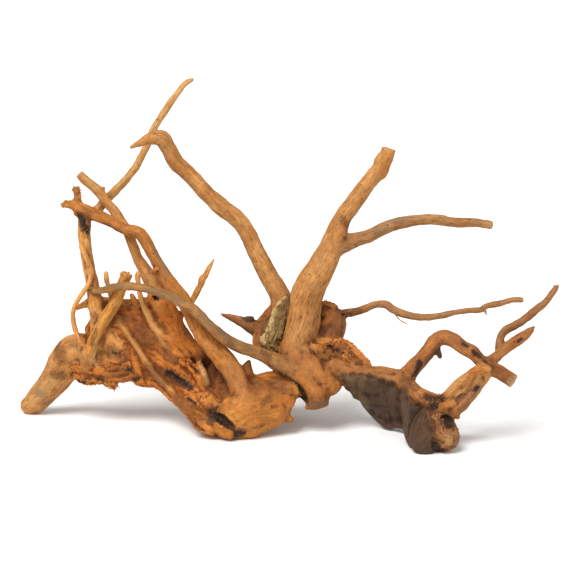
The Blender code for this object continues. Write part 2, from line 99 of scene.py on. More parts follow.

# %% [markdown]
# ## The limbs, as points
#
# A root is nothing but limbs that thicken, cross and melt into one another, so each limb is given by a
# few points along its middle line. Each row is a name, the depth of its section as a share of its
# width, and points (across, down, back, radius). Read them beside the photograph: the trunk starts low
# in the crown and ends sawn off at the top, and the runner creeps from the crown to the far left.
# Nearly all are the points that the imported part was made from, so the two agree.

# %% Thin limbs and twigs
LIMBS = (
    ("trunk", 1.0, ((299, 378, 84, 18.5), (297, 352, 84, 17.4), (302.5, 322, 84, 16.6),
        (307.5, 293, 86, 17.2), (322.5, 265, 88, 14.4), (333.8, 242, 90, 12),
        (342, 220.3, 92, 8.8), (354.5, 201.8, 94, 8.2), (366, 185.8, 96, 7.6),
        (376.3, 172.5, 98, 7.6), (385, 161, 99, 6.8), (388.5, 149, 100, 6.8))),
    ("fork_limb", 1.0, ((334, 247, 88, 11.5), (346, 243.5, 86, 8.8), (358, 239.5, 82, 6.8),
        (371, 235, 77, 6.2), (388, 226.5, 70, 5.9), (405, 222, 63, 5.4), (430, 219.2, 52, 5.1),
        (455, 222.3, 42, 5.2), (475, 222.8, 35, 4.6), (492, 225.3, 30, 4.3))),
    ("hooked_limb", 1.0, ((131, 147.3, 84, 2), (140, 143.3, 90, 4), (150, 139, 97, 6.2),
        (161, 138.8, 104, 8.5), (168.2, 148.6, 108, 7.8), (175.8, 162, 111, 7.9),
        (189.4, 174.7, 114, 7.3), (205, 191.4, 116, 7.1), (219.6, 205.5, 118, 8.2),
        (235.7, 217.7, 120, 8.1), (246.7, 232.1, 121, 8.2), (256.3, 252.3, 121, 8.9),
        (268.4, 276.3, 120, 9.9), (279, 294, 118, 11), (283, 310, 114, 12.2), (285, 330, 108, 14),
        (288, 352, 100, 16))),
    ("heel", 1.0, ((277.5, 303, 116, 4.5), (270, 316, 112, 7.5), (263, 330, 107, 9.8),
        (263, 346, 100, 11))),
    ("heel_spur", 1.0, ((223, 314.8, 96, 1.4), (230, 317, 98, 2.8), (238, 320, 100, 4.4),
        (247, 324.2, 103, 6), (256, 328.5, 106, 8.4), (267, 335, 107, 10))),
    ("old_bark", 1.0, ((288, 298, 96, 3), (283.5, 306, 92, 6.6), (279.5, 316, 90, 7.2),
        (275, 326, 89, 7.8), (271, 337, 87, 9), (270, 346, 86, 7.2), (275, 352, 84, 4))),
    ("runner", 1.0, ((303, 374, 76, 13), (286, 367, 70, 10), (268, 357.7, 64, 7),
        (252, 351.4, 60, 6), (236, 345.3, 57, 5.7), (221.5, 336, 55, 5.4), (207.5, 323.5, 54, 5.1),
        (196, 311.2, 53, 5.1), (182.7, 303.7, 53, 4.9), (167, 295, 54, 4.6), (150, 289.8, 56, 4.4),
        (135, 287, 59, 4.4), (120, 286.7, 63, 4.3), (105, 289.8, 72, 4), (95, 291, 81, 3.2))),
    ("upright", 1.0, ((84, 212, 88, 5), (84.2, 222, 86, 7.1), (84.2, 236, 86, 6.6),
        (86, 250, 87, 6.4), (88.4, 265, 88, 6.4), (92, 281, 89, 6.7), (94.6, 296, 90, 6.9),
        (97.5, 312, 92, 8), (102, 330, 96, 11), (104, 345, 100, 14))),
    ("clinging_root", 1.0, ((80.5, 246, 80, 2.3), (86, 258, 78, 2.6), (90.3, 270, 80, 2.8),
        (89.3, 281, 80, 2.8), (84, 291, 80, 2.5), (77, 301, 82, 2.4), (73.3, 311, 84, 2.6),
        (73, 320, 86, 2.6), (75.5, 330, 88, 2.9), (79.5, 339, 90, 3.3), (85, 349, 94, 4.3))),
    ("cross_limb", 1.0, ((63.5, 204.8, 86, 3), (72, 204.5, 84, 4.7), (82, 209.5, 82, 5.9),
        (95, 215, 82, 5.9), (110, 221.3, 82.5, 5.3), (123.5, 228.8, 83, 5), (137.5, 232, 82, 5.9),
        (145.8, 241.7, 81, 5.9), (151.3, 252.4, 80, 5.9), (158.1, 263.3, 79, 6.3),
        (165.7, 276, 78, 7.2), (174, 288, 77, 7.9), (184, 301, 76, 7.9), (193, 318, 74, 7.8),
        (202.5, 336.3, 71, 8.2), (217.5, 352.5, 67, 9.7), (231, 369, 63, 10), (239, 387, 59, 10),
        (246, 402, 56, 11), (250, 416, 56, 13))),
    ("frayed_stub", 1.0, ((81, 208.5, 87, 4.6), (77.5, 199, 86, 3.8), (76.5, 190.5, 86, 3.4))),
    ("sawn_limb", 1.0, ((79.5, 174, 112, 4.7), (88, 182.3, 110, 5), (97.6, 190.5, 108, 5.5),
        (106, 201, 106, 5.1), (114, 210.5, 104, 5.1), (121, 221.3, 102, 5), (128.3, 233.8, 100, 5),
        (133, 247, 98, 4.9), (138, 259.7, 97, 5.1), (146, 272, 96, 6.2), (153, 284, 95, 8),
        (159, 297, 94, 9), (162, 310, 95, 10))),
    ("whip_limb", 1.0, ((193, 79.3, 140, 1.6), (186.1, 82.8, 139, 2.6), (179.7, 90.2, 138, 3.1),
        (173, 99.5, 137, 3.5), (166, 110, 136, 3.6), (159.2, 120, 134, 3.7),
        (153, 130.2, 132, 3.9), (148.3, 141.6, 129, 4), (144.3, 150.6, 127, 3.9),
        (138.8, 161.3, 125, 3.8), (132, 172, 123, 4), (124.2, 181.7, 121, 4.2),
        (115.2, 190.7, 119, 4.2), (107, 198.7, 117, 4.4), (100.4, 206.8, 111, 4.6),
        (94, 213, 100, 5.2), (92, 216, 92, 5))),
    ("peg_left", 1.0, ((106, 272.5, 78, 2.2), (106.4, 280, 80, 2.5), (109, 288, 82, 2.5),
        (111.5, 298, 86, 2.6), (113, 306, 92, 3))),
    ("peg_thick", 1.0, ((126.8, 273.5, 80, 6), (121.5, 286, 80, 5.6), (116.5, 299, 80, 5.6),
        (110.5, 309.5, 80, 5.8), (104, 320.5, 81, 5.6), (98, 332, 82, 5.3), (92.3, 343, 84, 5),
        (89.5, 352, 88, 4.6))),
    ("peg_right", 1.0, ((137.4, 273.5, 78, 2.8), (138.1, 282, 80, 2.8), (139.4, 293, 82, 2.7),
        (142.5, 303.5, 84, 3.1), (147.5, 314, 85, 3.6), (153.5, 324.5, 86, 4.1),
        (160.5, 333, 87, 4.7), (170, 340, 90, 5.6))),
    ("peg_curl", 1.0, ((131.5, 295, 86, 2.2), (134, 300, 88, 2.9), (138, 306, 91, 3.4))),
    ("rim", 1.0, ((76.5, 308.3, 90, 2.2), (84, 304.8, 92, 3.3), (93, 302, 94, 4.3),
        (103, 301.5, 95, 4.4), (113, 303, 96, 4.8), (124, 305, 97, 5.6), (136, 306.5, 98, 6.6),
        (148, 304, 98, 7), (157, 301.5, 97, 5.2), (164.5, 299, 96, 3.4))),
    ("twig", 1.0, ((214, 258.7, 78, 1.2), (209.5, 267, 81, 2.4), (204, 278.1, 86, 2.8),
        (199, 288, 90, 3), (193.3, 298.3, 93, 3.1), (186.5, 308, 95, 3), (179.5, 317, 96, 3.2),
        (173, 326, 97, 5))),
    ("left_foot", 0.85, ((29.5, 405.8, 147, 10.4), (36.3, 400, 143, 12.6), (46, 389.5, 137, 13.9),
        (56, 377, 129, 15.3), (64.8, 364.5, 121, 17.3), (76, 353.5, 113, 18.3),
        (92, 352.5, 107, 16))),
    ("right_arch", 1.0, ((404.5, 379, 53, 9.5), (412.7, 368.4, 50, 8.4), (420.7, 360, 47, 7.8),
        (428, 351.3, 43, 7.8), (434.4, 341.4, 39, 7.6), (443, 337.3, 36, 8.1),
        (453.5, 340, 33, 7.6), (463, 347.3, 31, 7), (473, 352.5, 29, 7), (480.5, 361, 28, 6.5),
        (489, 367.3, 26, 6.8), (500.3, 372.6, 22, 6.8), (513.5, 381.5, 18, 6.9))),
    ("arch_stub", 1.0, ((436, 346, 40, 4.3), (440, 357, 40, 2.3))),
    ("right_riser", 0.75, ((445, 408, 26, 12.4), (455.6, 400.2, 24, 13.2), (465.4, 389.7, 22, 13),
        (475.4, 379.6, 19, 11), (484, 371, 17, 8.8))),
    ("riser_spike", 1.0, ((450, 406, 22, 10.5), (458.3, 418, 20, 2.2))),
    ("riser_limb", 1.0, ((484, 368, 24, 7.3), (496.5, 356.2, 32, 5.7), (508.5, 346.3, 37, 5.5),
        (519.5, 338.8, 41, 5.9), (527.5, 333, 44, 4.4), (532, 329.5, 45, 2.8))),
    ("far_right_twig", 1.0, ((500, 352, 36, 5), (500, 339.5, 41, 4.1), (504.8, 331, 46, 4.1),
        (515, 324.9, 52, 4.1), (525.7, 318.8, 56, 4.1), (535.2, 310.4, 60, 4),
        (544.6, 303, 64, 3.9), (551.8, 293.7, 67, 3.3), (556.4, 287, 69, 2.7))),
    ("wavy_limb", 1.0, ((327, 319, 107, 9), (338, 315, 105, 4.6), (345, 313.2, 104, 4.1),
        (354, 312, 103, 3.9), (364, 309.3, 102, 3.8), (375.5, 304.2, 101, 3.5),
        (386.5, 304.8, 100, 3.8), (394.6, 310.6, 100, 3.9), (407, 315, 101, 3.7),
        (423.5, 317.5, 103, 3.4), (440, 316, 105, 3.4), (458, 312, 108, 3.2),
        (472.5, 310.4, 110, 3.1), (481, 309.8, 111, 3.3), (487, 306, 112, 3), (501, 303.2, 115, 3),
        (513, 299.8, 117, 2.8), (523.3, 300, 118, 2.3))),
)
print(len(LIMBS), "thin limbs")

# %% [markdown]
# ## Broad masses
#
# Below its limbs the root is a heap of swollen wood: the old plate at the left, the round lobe in the
# middle, the crown under the trunk, and the dark apron and foot at the right. They could be sculpted
# blobs, but then nothing would say which way their wood runs. So they are limbs too, short and thick,
# and a small depth share makes a sheet of a limb.

# %% Broad masses
MASSES = (
    ("plate_upper", 0.55, ((92, 331, 101, 9), (105, 323, 100, 16), (122, 323, 98, 18),
        (141, 323, 97, 18), (157, 321.5, 97, 16), (169, 331.5, 95, 11.5), (182, 342.5, 93, 9),
        (196, 350.5, 92, 8.5))),
    ("plate_lower", 0.55, ((72, 357, 112, 15), (90, 361, 106, 20), (112, 363, 103, 19.5),
        (134, 362, 101, 18.5), (154, 366, 98, 17), (170, 375, 93, 16.5), (186, 388, 86, 18.5),
        (202, 402, 76, 21.5), (218, 413, 66, 23.5))),
    ("hollow_back", 0.5, ((194, 354, 106, 10), (209, 368, 105, 14), (222, 384, 98, 15),
        (236, 400, 84, 15))),
    ("lobe", 0.8, ((297, 384, 80, 9), (286, 391.5, 74, 13.5), (271, 400.5, 66, 23.7),
        (254, 406.5, 60, 26), (238.5, 415, 56, 25.5), (226.5, 421, 53, 20.5))),
    ("lobe_top", 0.8, ((245, 398, 70, 16), (258, 388, 72, 13.5), (272, 385, 74, 13),
        (286, 387, 76, 9))),
    ("lobe_spike", 1.0, ((245.5, 379, 72, 10), (246.3, 369, 72, 7), (249, 361.5, 72, 2.4))),
    ("lobe_nub", 1.0, ((277, 412, 64, 9), (290.5, 420, 62, 3.4))),
    ("crown_stub", 1.0, ((300, 374, 78, 17), (309, 383, 72, 16), (316, 394, 67, 13.6),
        (319, 405.5, 62, 10.4))),
    ("stub_lip", 1.0, ((312, 398, 68, 5), (307, 408, 64, 2.6))),
    ("crown_shoulder", 1.0, ((306, 368, 78, 17), (322, 378, 74, 15.4), (331.5, 387, 70, 10.6))),
    ("knuckle", 1.0, ((318, 315, 106, 9.5), (328.5, 318.5, 106, 14.5), (331, 326.5, 105, 15.7),
        (328.5, 337, 101, 13.6), (321, 348, 97, 13))),
    ("fan", 0.8, ((312, 350, 92, 14), (328, 350.5, 90, 14.5), (342.5, 354, 86, 14),
        (355, 361, 82, 10.8), (366, 369.5, 78, 7.6))),
    ("brow", 1.0, ((330, 367, 78, 13), (348, 371, 74, 10), (366, 374, 70, 8.2), (384, 375, 64, 8),
        (398, 378.5, 57, 8.4), (408, 386, 50, 8), (418, 394.5, 44, 7.7), (430, 401, 38, 8.6),
        (443, 407, 32, 11))),
    ("apron", 0.32, ((350, 380.5, 88, 7), (364, 388.6, 91, 12.4), (378.5, 399, 91, 18.4),
        (393, 406, 85, 23.4), (405, 411, 74, 19.5), (417, 421, 60, 15), (424, 435.5, 42, 15))),
    ("right_foot", 1.0, ((430, 412, 44, 13), (425.5, 424, 32, 13.8), (423.5, 435.5, 16, 15),
        (424, 443.5, 2, 13))),
    ("right_foot_toe", 1.0, ((437, 417, 26, 9), (443.5, 428, 14, 13), (445.5, 439, 3, 14.2))),
    ("back_foot", 1.0, ((292, 356, 110, 15), (291, 374, 125, 12.5), (284, 390, 142, 11),
        (275, 401, 158, 10), (269, 405.5, 167, 9))),
)
print(len(MASSES), "masses")

# %% [markdown]
# ## Ropes of wood
#
# Roots that once crept over the others are half grown into them, and stand out as ropes, hems and ribs.
# Each is laid a little nearer to the eye than the mass that it crosses, so that it still stands out
# when all is fused. Those at the back are a guess, because the photograph doesn't show it.

# %% Ropes of wood, and the ends that are sawn flat
ROPES = (
    ("long_rope", 1.0, ((113, 312, 89, 2.4), (121, 322, 87, 2.8), (130, 337, 86, 3),
        (139, 350.5, 85, 3), (149, 366.5, 83.5, 3.2), (159, 379, 80, 3.4), (169.7, 388, 75, 3.8),
        (182.5, 404, 68, 4.2), (200, 417, 56, 5), (219, 428.5, 46, 6), (230, 435, 42, 5))),
    ("upright_rope", 1.0, ((132, 346, 91, 4), (135, 358, 91, 4.5), (137, 370, 91, 5),
        (141, 381, 93, 5.2))),
    ("left_lip", 1.0, ((97, 372, 95, 5), (108, 371.5, 94, 6), (120, 369, 93, 6), (130, 364, 92, 5))),
    ("left_hem", 1.0, ((77, 376, 106, 5), (88, 380.5, 102, 5), (99, 378.5, 99, 5.2),
        (110, 382, 96, 4.6), (115, 387, 95, 2.6))),
    ("middle_hem", 1.0, ((119, 378, 98, 6), (132, 375, 98, 6), (144, 382, 97, 5.5),
        (158, 381, 95, 6))),
    ("foot_rib", 0.7, ((62, 358, 110, 8), (76, 354, 102, 8), (92, 353, 97, 8), (104, 352, 95, 6))),
    ("hollow_lip", 1.0, ((174, 352, 88, 4.6), (186, 362, 85, 5), (196, 373, 80, 5),
        (205, 386, 73, 6))),
    ("lower_hem", 1.0, ((166, 381, 86, 4.5), (179, 396.5, 75, 5), (190, 411, 64, 6),
        (200, 424, 52, 7), (212, 431, 46, 5.5))),
    ("burl", 1.0, ((208, 399.5, 59, 8.6), (213, 404.5, 56, 9))),
    ("splinter", 1.0, ((199.5, 363, 82, 2.6), (204, 373, 74, 3), (208.5, 384, 67, 2.8))),
    ("plate_back_rib", 1.0, ((90, 346, 112, 9), (112, 338, 112, 9), (138, 334, 110, 9),
        (162, 340, 106, 8))),
    ("back_knee", 1.0, ((158, 344, 104, 12), (176, 355, 112, 11), (196, 369, 116, 11),
        (222, 384, 112, 11), (252, 392, 104, 11), (284, 386, 100, 12))),
)
# A limb with a first or a last end sawn flat. Every other end is rounded over.
SAWN_FIRST = {"sawn_limb", "peg_thick"}
SAWN_LAST = {"trunk", "fork_limb", "crown_stub", "right_arch", "wavy_limb"}
print(len(ROPES), "ropes, and", len(SAWN_FIRST | SAWN_LAST), "limbs with a sawn end")

# %% [markdown]
# ## Small folds that only the eye sees
#
# The weathered plate at the left is a tangle of half-buried roots, which show as low diagonal ribs and
# torn edges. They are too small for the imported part. A sculpting brush could raise them, but points are
# easier to read and to mend, so they are laid here as limbs, on top of the masses.

# %% Folds
FOLDS = (
    ("face_upper", 0.42, ((98, 322, 94, 11), (118, 324, 92, 15), (142, 330, 91, 17),
        (164, 338, 90, 15), (184, 352, 88, 9))),
    ("face_middle", 0.42, ((92, 350, 98, 11), (116, 350, 95, 15), (142, 354, 93, 16),
        (166, 366, 89, 14), (184, 380, 83, 10))),
    ("face_lower", 0.42, ((84, 368, 101, 9), (112, 371, 98, 11), (136, 370, 96, 11),
        (158, 378, 91, 11), (180, 393, 79, 13), (200, 408, 66, 15), (220, 418, 54, 14))),
    ("face_lobe", 0.35, ((221, 411, 54, 6), (232, 410, 50, 11), (246, 407, 47.5, 15),
        (262, 404, 49, 15), (278, 401, 54, 12), (290, 402, 58, 8))),
    ("bowl_rib_a", 1.0, ((214, 364, 99, 5), (212, 377, 90, 6.4), (208, 390, 78, 6.4),
        (206, 402, 65, 5))),
    ("bowl_rib_b", 1.0, ((222, 370, 96, 5), (221, 381, 86, 7), (218, 392, 73, 7.4),
        (217, 403, 60, 6))),
    ("bowl_rib_c", 1.0, ((230, 376, 90, 5), (230, 385, 80, 7), (229, 394, 67, 7.6),
        (230, 404, 55, 6))),
    ("apron_rib_a", 0.7, ((345, 378, 69, 5), (350, 387, 83, 6))),
    ("apron_rib_b", 0.7, ((354, 380, 66, 6.4), (360, 394, 85, 8.4))),
    ("apron_rib_c", 0.7, ((364, 381, 64, 7), (368, 392, 76, 10), (372, 405, 88, 8))),
    ("apron_rib_d", 0.7, ((374, 382, 61.5, 7.6), (379, 396, 74, 11), (384, 413, 88, 8.4))),
    ("apron_rib_e", 0.7, ((385, 386, 60, 7.6), (390, 401, 70, 12), (395, 420, 84, 8.6))),
    ("apron_rib_f", 0.7, ((396, 390, 54.5, 7.6), (401, 404, 65, 12), (405, 422, 76, 8.6))),
    ("apron_rib_g", 0.7, ((406, 396, 48, 7.6), (410, 408, 56, 11), (413, 423, 58, 9.6))),
    ("foot_web", 0.7, ((408, 404, 48, 8), (412, 418, 44, 11), (413, 432, 34, 11),
        (415, 444, 20, 8))),
    ("coral", 1.0, ((314, 347, 74, 4.4), (320, 351, 71, 6), (326, 356, 70, 4.6))),
    ("twig_knob", 1.0, ((203, 277, 86, 3.2), (201.5, 281, 87, 3.4))),
    ("upright_peg", 1.0, ((80, 216, 84, 3), (75, 213.4, 82, 1.9))),
    ("crown_face", 0.5, ((296, 346, 76, 15), (300, 360, 72, 19), (308, 373, 67, 20),
        (316, 385, 64, 16), (320, 397, 62, 11))),
    ("crown_web", 0.5, ((318, 372, 72, 13), (332, 378, 74, 9), (341, 384, 76, 3.6))),
    ("cross_root", 0.9, ((231, 369, 60, 9.6), (239, 386, 54, 10.4), (245, 400, 50, 12),
        (249, 411, 49.5, 12), (252, 420, 52, 9))),
    ("sawn_root", 0.7, ((155, 288, 94, 8), (160, 302, 93, 11), (167, 317, 92, 12.4),
        (176, 331, 92, 10.4), (187, 344, 91, 9), (200, 356, 90, 7))),
    ("peg_root", 0.6, ((101, 327, 84, 4.6), (95, 339, 85, 5.4), (92, 350, 88, 6.6),
        (89, 360, 93, 7), (86, 370, 99, 6))),
    ("cling_root", 0.7, ((78, 336, 90, 4), (83, 346, 93, 6), (86, 356, 97, 8))),
    ("upright_root", 0.7, ((100, 316, 92, 9), (106, 332, 94, 12), (116, 348, 95, 13))),
    ("lobe_shoulder", 0.7, ((262, 388, 62, 9), (276, 388, 60, 9), (288, 389.5, 58, 7.6),
        (297.5, 391, 57, 4.2))),
    ("fold_b", 1.0, ((150, 312, 87, 2), (161, 325, 87, 2.4), (174, 341, 87, 2.4),
        (190, 357, 85, 2))),
    ("fold_d", 1.0, ((158, 346, 88, 2), (168, 358, 87, 2.4), (182, 371, 83, 2))),
    ("fold_f", 0.8, ((176, 391, 76, 2.4), (190, 404, 67, 3), (204, 418, 57, 3),
        (216, 428, 48, 2.6))),
    ("fold_g", 1.0, ((228, 372, 58, 2.2), (233, 388, 54, 2.4), (240, 404, 50, 2))),
    ("left_crest", 1.0, ((98, 371, 91, 2.2), (112, 374, 90, 2.8), (126, 371, 89, 2.8),
        (137, 367, 89, 2))),
    ("left_ledge", 1.0, ((104, 379, 93, 2), (118, 379.5, 91, 2.8), (131, 376, 90, 2.6),
        (140, 371, 89, 1.8))),
    ("brow_rim", 1.0, ((374, 375, 59, 2), (384, 377, 56, 2.8), (396, 379, 51, 3),
        (408, 384, 45, 2.8))),
    ("knot_a", 1.0, ((181, 360, 79, 3.2), (185, 364, 77, 3.4))),
    ("knot_b", 1.0, ((190, 367, 78, 2.8), (194, 371, 76, 2.8))),
    ("hook_nub", 1.0, ((101.5, 191, 108, 3.4), (104, 187.6, 108, 1.4))),
    ("cross_nub", 1.0, ((155, 272, 77, 3.8), (157, 270, 73, 2.8))),
    ("knuckle_crest", 1.0, ((321, 306, 100, 4.6), (329, 304.8, 99, 4), (336, 308, 97, 3.2))),
    ("wavy_root", 0.9, ((319, 327, 94, 4), (329, 321.5, 93.5, 5.4), (341, 315, 99, 4.6))),
    ("coral_b", 1.0, ((342, 344, 84, 3.6), (350, 347, 82, 4.4), (357, 354, 79, 4))),
    ("trunk_nub", 1.0, ((379, 163, 99, 6.4), (382, 157, 99, 5.4))),
    ("trunk_collar", 1.0, ((380, 174, 99, 6.4), (384, 169, 99, 5.4))),
    ("arch_nub", 1.0, ((453, 338, 31, 6), (459, 341, 28, 4.6))),
    ("riser_edge", 1.0, ((446, 414, 20, 4), (455, 411, 17, 4.6), (464, 403, 14, 4.4),
        (473, 392, 13, 4), (480, 381, 12, 3.4))),
    ("riser_knob", 0.8, ((472, 374, 16, 6), (480, 370.5, 14, 6.8), (488, 369, 14, 4.8))),
    ("spur_nub", 1.0, ((247, 319, 99, 3.2), (252, 318.5, 99, 3))),
)
print(len(FOLDS), "folds")

# %% [markdown]
# ## Hollows
#
# Gaps between half-grown roots, wounds and rotten knots look black in the photograph. Dark paint
# would look flat from the side. So each is a limb of empty space, laid like the others, and its tube
# is later cut out of the fused skin.

# %% Hollows
HOLLOWS = (
    ("slot", 1.3, ((166, 369.5, 80, 1.6), (170.5, 375, 79, 4.6), (177, 379.5, 77, 4.8),
        (184, 383.5, 74, 3.8), (192, 388.5, 70, 1.2))),
    ("slot_upper", 2.0, ((174, 370, 81, 1.4), (178, 375.5, 79, 2.6), (185, 380, 76, 1.6))),
    ("black_pocket", 1.3, ((209, 412, 46, 2.4), (216, 416, 41, 4.6), (225, 422, 37, 5.2),
        (234, 430, 34, 3.4), (241, 435, 33, 1.4))),
    ("rim_hole", 2.0, ((154, 298, 90, 2.6), (158, 298.5, 90, 2.2))),
    ("fan_eye", 1.6, ((327, 352, 73, 2.4), (333, 349, 74, 3.2))),
    ("foot_hole", 1.6, ((444, 417, 12, 3.4), (448, 421, 9, 4.2))),
    ("foot_bite", 3.0, ((453, 421, 8, 2.4), (461, 424, 6, 4.4))),
    ("crown_slit", 3.0, ((284, 374, 58, 1), (292, 379, 57, 1.6), (300, 387, 57, 2.2),
        (304, 396, 58, 3), (306, 403, 60, 3))),
    ("knot_gap", 1.4, ((184, 356, 76, 1.4), (192, 363, 74, 2), (197, 373, 72, 1.8))),
)
print(len(HOLLOWS), "hollows")

# %% [markdown]
# ## From points to a tube
#
# A curve object could sweep a round tube, but a root's section is never round: it is lobed, and the
# lobes turn slowly as it grows. So the tube is swept in code. A smooth line goes through the points,
# rings are set along it, and each ring is pushed in and out by three slow waves. The stations are kept,
# because the grain of the wood will later be read from them.

# %% A smooth middle line with rounded or sawn ends
STATION_STEP = 2.0
CAP_TURNS = np.radians([72.0, 52.0, 28.0])
GROWN_END = (0.8, 1.0)  # how far the cap reaches and how much it narrows, as shares of the radius
SAWN_END = (0.12, 0.35)


def smooth_path(knots):
    """Rows about a step apart on a smooth curve through the knots."""
    padded = np.vstack([2 * knots[0] - knots[1], knots, 2 * knots[-1] - knots[-2]])
    rows = []
    for before, start, end, after in zip(padded, padded[1:], padded[2:], padded[3:]):
        count = max(2, round(np.linalg.norm((end - start)[:3]) / STATION_STEP))
        for t in np.arange(count) / count:
            slope, bend = end - before, 2 * before - 5 * start + 4 * end - after
            twist = 3 * start - before - 3 * end + after
            rows.append(0.5 * (2 * start + slope * t + bend * t**2 + twist * t**3))
    return np.array(rows + [knots[-1]])


def round_ends(rows, sawn_first, sawn_last):
    """Adds the small rings that round an end over. A sawn end gets only a narrow easing."""
    for sawn in (sawn_first, sawn_last):
        tip, inner = rows[0], rows[1]
        outward = (tip - inner)[:3] / np.linalg.norm((tip - inner)[:3])
        share, shrink = SAWN_END if sawn else GROWN_END
        reach = tip[3] * share
        cap = [
            [*(tip[:3] + outward * reach * math.sin(turn)), tip[3] * (1 - shrink * (1 - math.cos(turn)))]
            for turn in CAP_TURNS
        ]
        rows = np.vstack([cap, rows])[::-1]
    return rows


print("An end is rounded over by", len(CAP_TURNS), "rings")

# %% Directions along a section's width and its depth
HEAD_ON = 0.35  # a limb that runs so nearly towards the eye has no clear side
START_HEAD_ON = 0.2
PULL = 0.5  # how hard a section is turned back so that its width is seen from the front


def section_axes(middles):
    """Each station's width and depth directions, turned no more than they must from one to the next."""
    along = np.gradient(middles, axis=0)
    along /= np.linalg.norm(along, axis=1)[:, None]
    side = np.cross(along[0], INWARD)
    if np.linalg.norm(side) < START_HEAD_ON:
        side = np.cross(along[0], RIGHT)
    sides = []
    for way in along:
        wanted = np.cross(way, INWARD)
        if np.linalg.norm(wanted) > HEAD_ON:
            wanted /= np.linalg.norm(wanted)
            side = side + PULL * wanted * np.sign(wanted @ side or 1.0)
        side = side - (side @ way) * way
        side = side / np.linalg.norm(side)
        sides.append(side)
    sides = np.array(sides)
    return sides, np.cross(sides, along), along


print("A section turns freely once it runs within", HEAD_ON, "of the eye's way")

# %% The rings of a tube
RING_SIDES = 20
SMOOTHING_LOSS = 0.18  # mm that the smoothing takes off a radius, given back beforehand
LOBES = ((2, 0.07, 4.0), (3, 0.05, -6.0), (5, 0.025, 9.0))  # lobes, share of radius, turns per metre
LOBE_START = 2.4  # how far the lobes are turned from one limb to the next, in radians


def lay_limb(number, name, depth_share, points):
    """One limb's stations, with the vertices and faces of its closed tube, all in mm."""
    knots = place(points)
    knots[:, 3] += SMOOTHING_LOSS
    rows = round_ends(smooth_path(knots), name in SAWN_FIRST, name in SAWN_LAST)
    middles, radii = rows[:, :3], rows[:, 3]
    wide, deep, along = section_axes(middles)
    run = np.append(0, np.cumsum(np.linalg.norm(np.diff(middles, axis=0), axis=1)))
    angles = np.linspace(0, math.tau, RING_SIDES, endpoint=False)
    share = 1 + sum(
        size * np.cos(lobes * (angles + LOBE_START * number) + math.tau * turns * run[:, None] / 1000)
        for lobes, size, turns in LOBES
    )
    width = (radii[:, None] * share * np.cos(angles))[:, :, None] * wide[:, None]
    depth = (radii[:, None] * share * np.sin(angles))[:, :, None] * deep[:, None] * depth_share
    rings = middles[:, None] + width + depth
    count, top = len(rows), (len(rows) - 1) * RING_SIDES
    faces = []
    for j in range(RING_SIDES):
        k = (j + 1) % RING_SIDES
        faces.append((count * RING_SIDES, j, k))
        faces.append((count * RING_SIDES + 1, top + k, top + j))
        for ring in range(0, top, RING_SIDES):
            faces.append((ring + k, ring + j, ring + RING_SIDES + j, ring + RING_SIDES + k))
    return {
        "name": name, "number": number, "share": depth_share, "run": run, "radii": radii,
        "middles": middles, "wide": wide, "deep": deep, "along": along, "faces": faces,
        "verts": np.vstack([*rings, rings[0].mean(0), rings[-1].mean(0)]),
    }


grown = [lay_limb(number, *row) for number, row in enumerate(LIMBS + MASSES + ROPES + FOLDS)]
print("The limbs add up to", round(sum(limb["run"][-1] for limb in grown) / 1000, 2), "m")

# %% [markdown]
# ## One skin
#
# Overlapping tubes would show hard seams where a limb leaves another, and the real wood has none: it
# swells into the joint. So all tubes go into one mesh, and a voxel remesh wraps one even skin round
# them. The hollows are cut next. A second remesh evens the skin out after the cut, a light smoothing
# rounds the joints, and the feet are sawn level with the floor, where the root stands on small flats.

# %% Helpers that make a mesh
scene = bpy.context.scene


def mesh_object(name, verts, faces):
    """An object in the scene, from vertices in mm."""
    mesh = bpy.data.meshes.new(name)
    mesh.from_pydata((np.array(verts) * MM).tolist(), [], faces)
    made = bpy.data.objects.new(name, mesh)
    scene.collection.objects.link(made)
    return made


def face_outward(piece):
    """Turns all faces of a closed mesh outward."""
    skin = bmesh.new()
    skin.from_mesh(piece.data)
    bmesh.ops.recalc_face_normals(skin, faces=skin.faces)
    skin.to_mesh(piece.data)
    skin.free()


def tubes_object(name, limbs):
    """All the limbs' tubes in one mesh, with their faces turned outward."""
    starts = np.cumsum([0] + [len(limb["verts"]) for limb in limbs])
    faces = [
        tuple(i + start for i in face) for start, limb in zip(starts, limbs) for face in limb["faces"]
    ]
    made = mesh_object(name, np.vstack([limb["verts"] for limb in limbs]), faces)
    face_outward(made)
    return made


root = tubes_object("debarked_root", grown)
print("The loose tubes have", len(root.data.polygons), "faces")


# %% Fuse the tubes and cut out the hollows
def apply_modifiers(piece):
    """Turns what the modifiers make into the piece's plain mesh."""
    graph = bpy.context.evaluated_depsgraph_get()
    made = bpy.data.meshes.new_from_object(piece.evaluated_get(graph))
    piece.modifiers.clear()
    old, piece.data = piece.data, made
    bpy.data.meshes.remove(old)


def shape(piece, kind, **settings):
    """Puts one modifier on the piece, with its settings, and applies it."""
    modifier = piece.modifiers.new(kind.lower(), kind)
    for setting, value in settings.items():
        setattr(modifier, setting, value)
    apply_modifiers(piece)


def cut_away(piece, cutter):
    """Takes the cutter's shape out of the piece, and the cutter out of the scene."""
    shape(piece, "BOOLEAN", operation="DIFFERENCE", solver="MANIFOLD", object=cutter)
    bpy.data.objects.remove(cutter, do_unlink=True)


SKIN_VOXEL = 1.15
SMOOTHING = {"factor": 0.5, "iterations": 3}
shape(root, "REMESH", mode="VOXEL", voxel_size=SKIN_VOXEL * MM)
hollows = [lay_limb(number, *row) for number, row in enumerate(HOLLOWS)]
cut_away(root, tubes_object("hollow_cutters", hollows))
print("The fused tubes have", len(root.data.polygons), "faces")

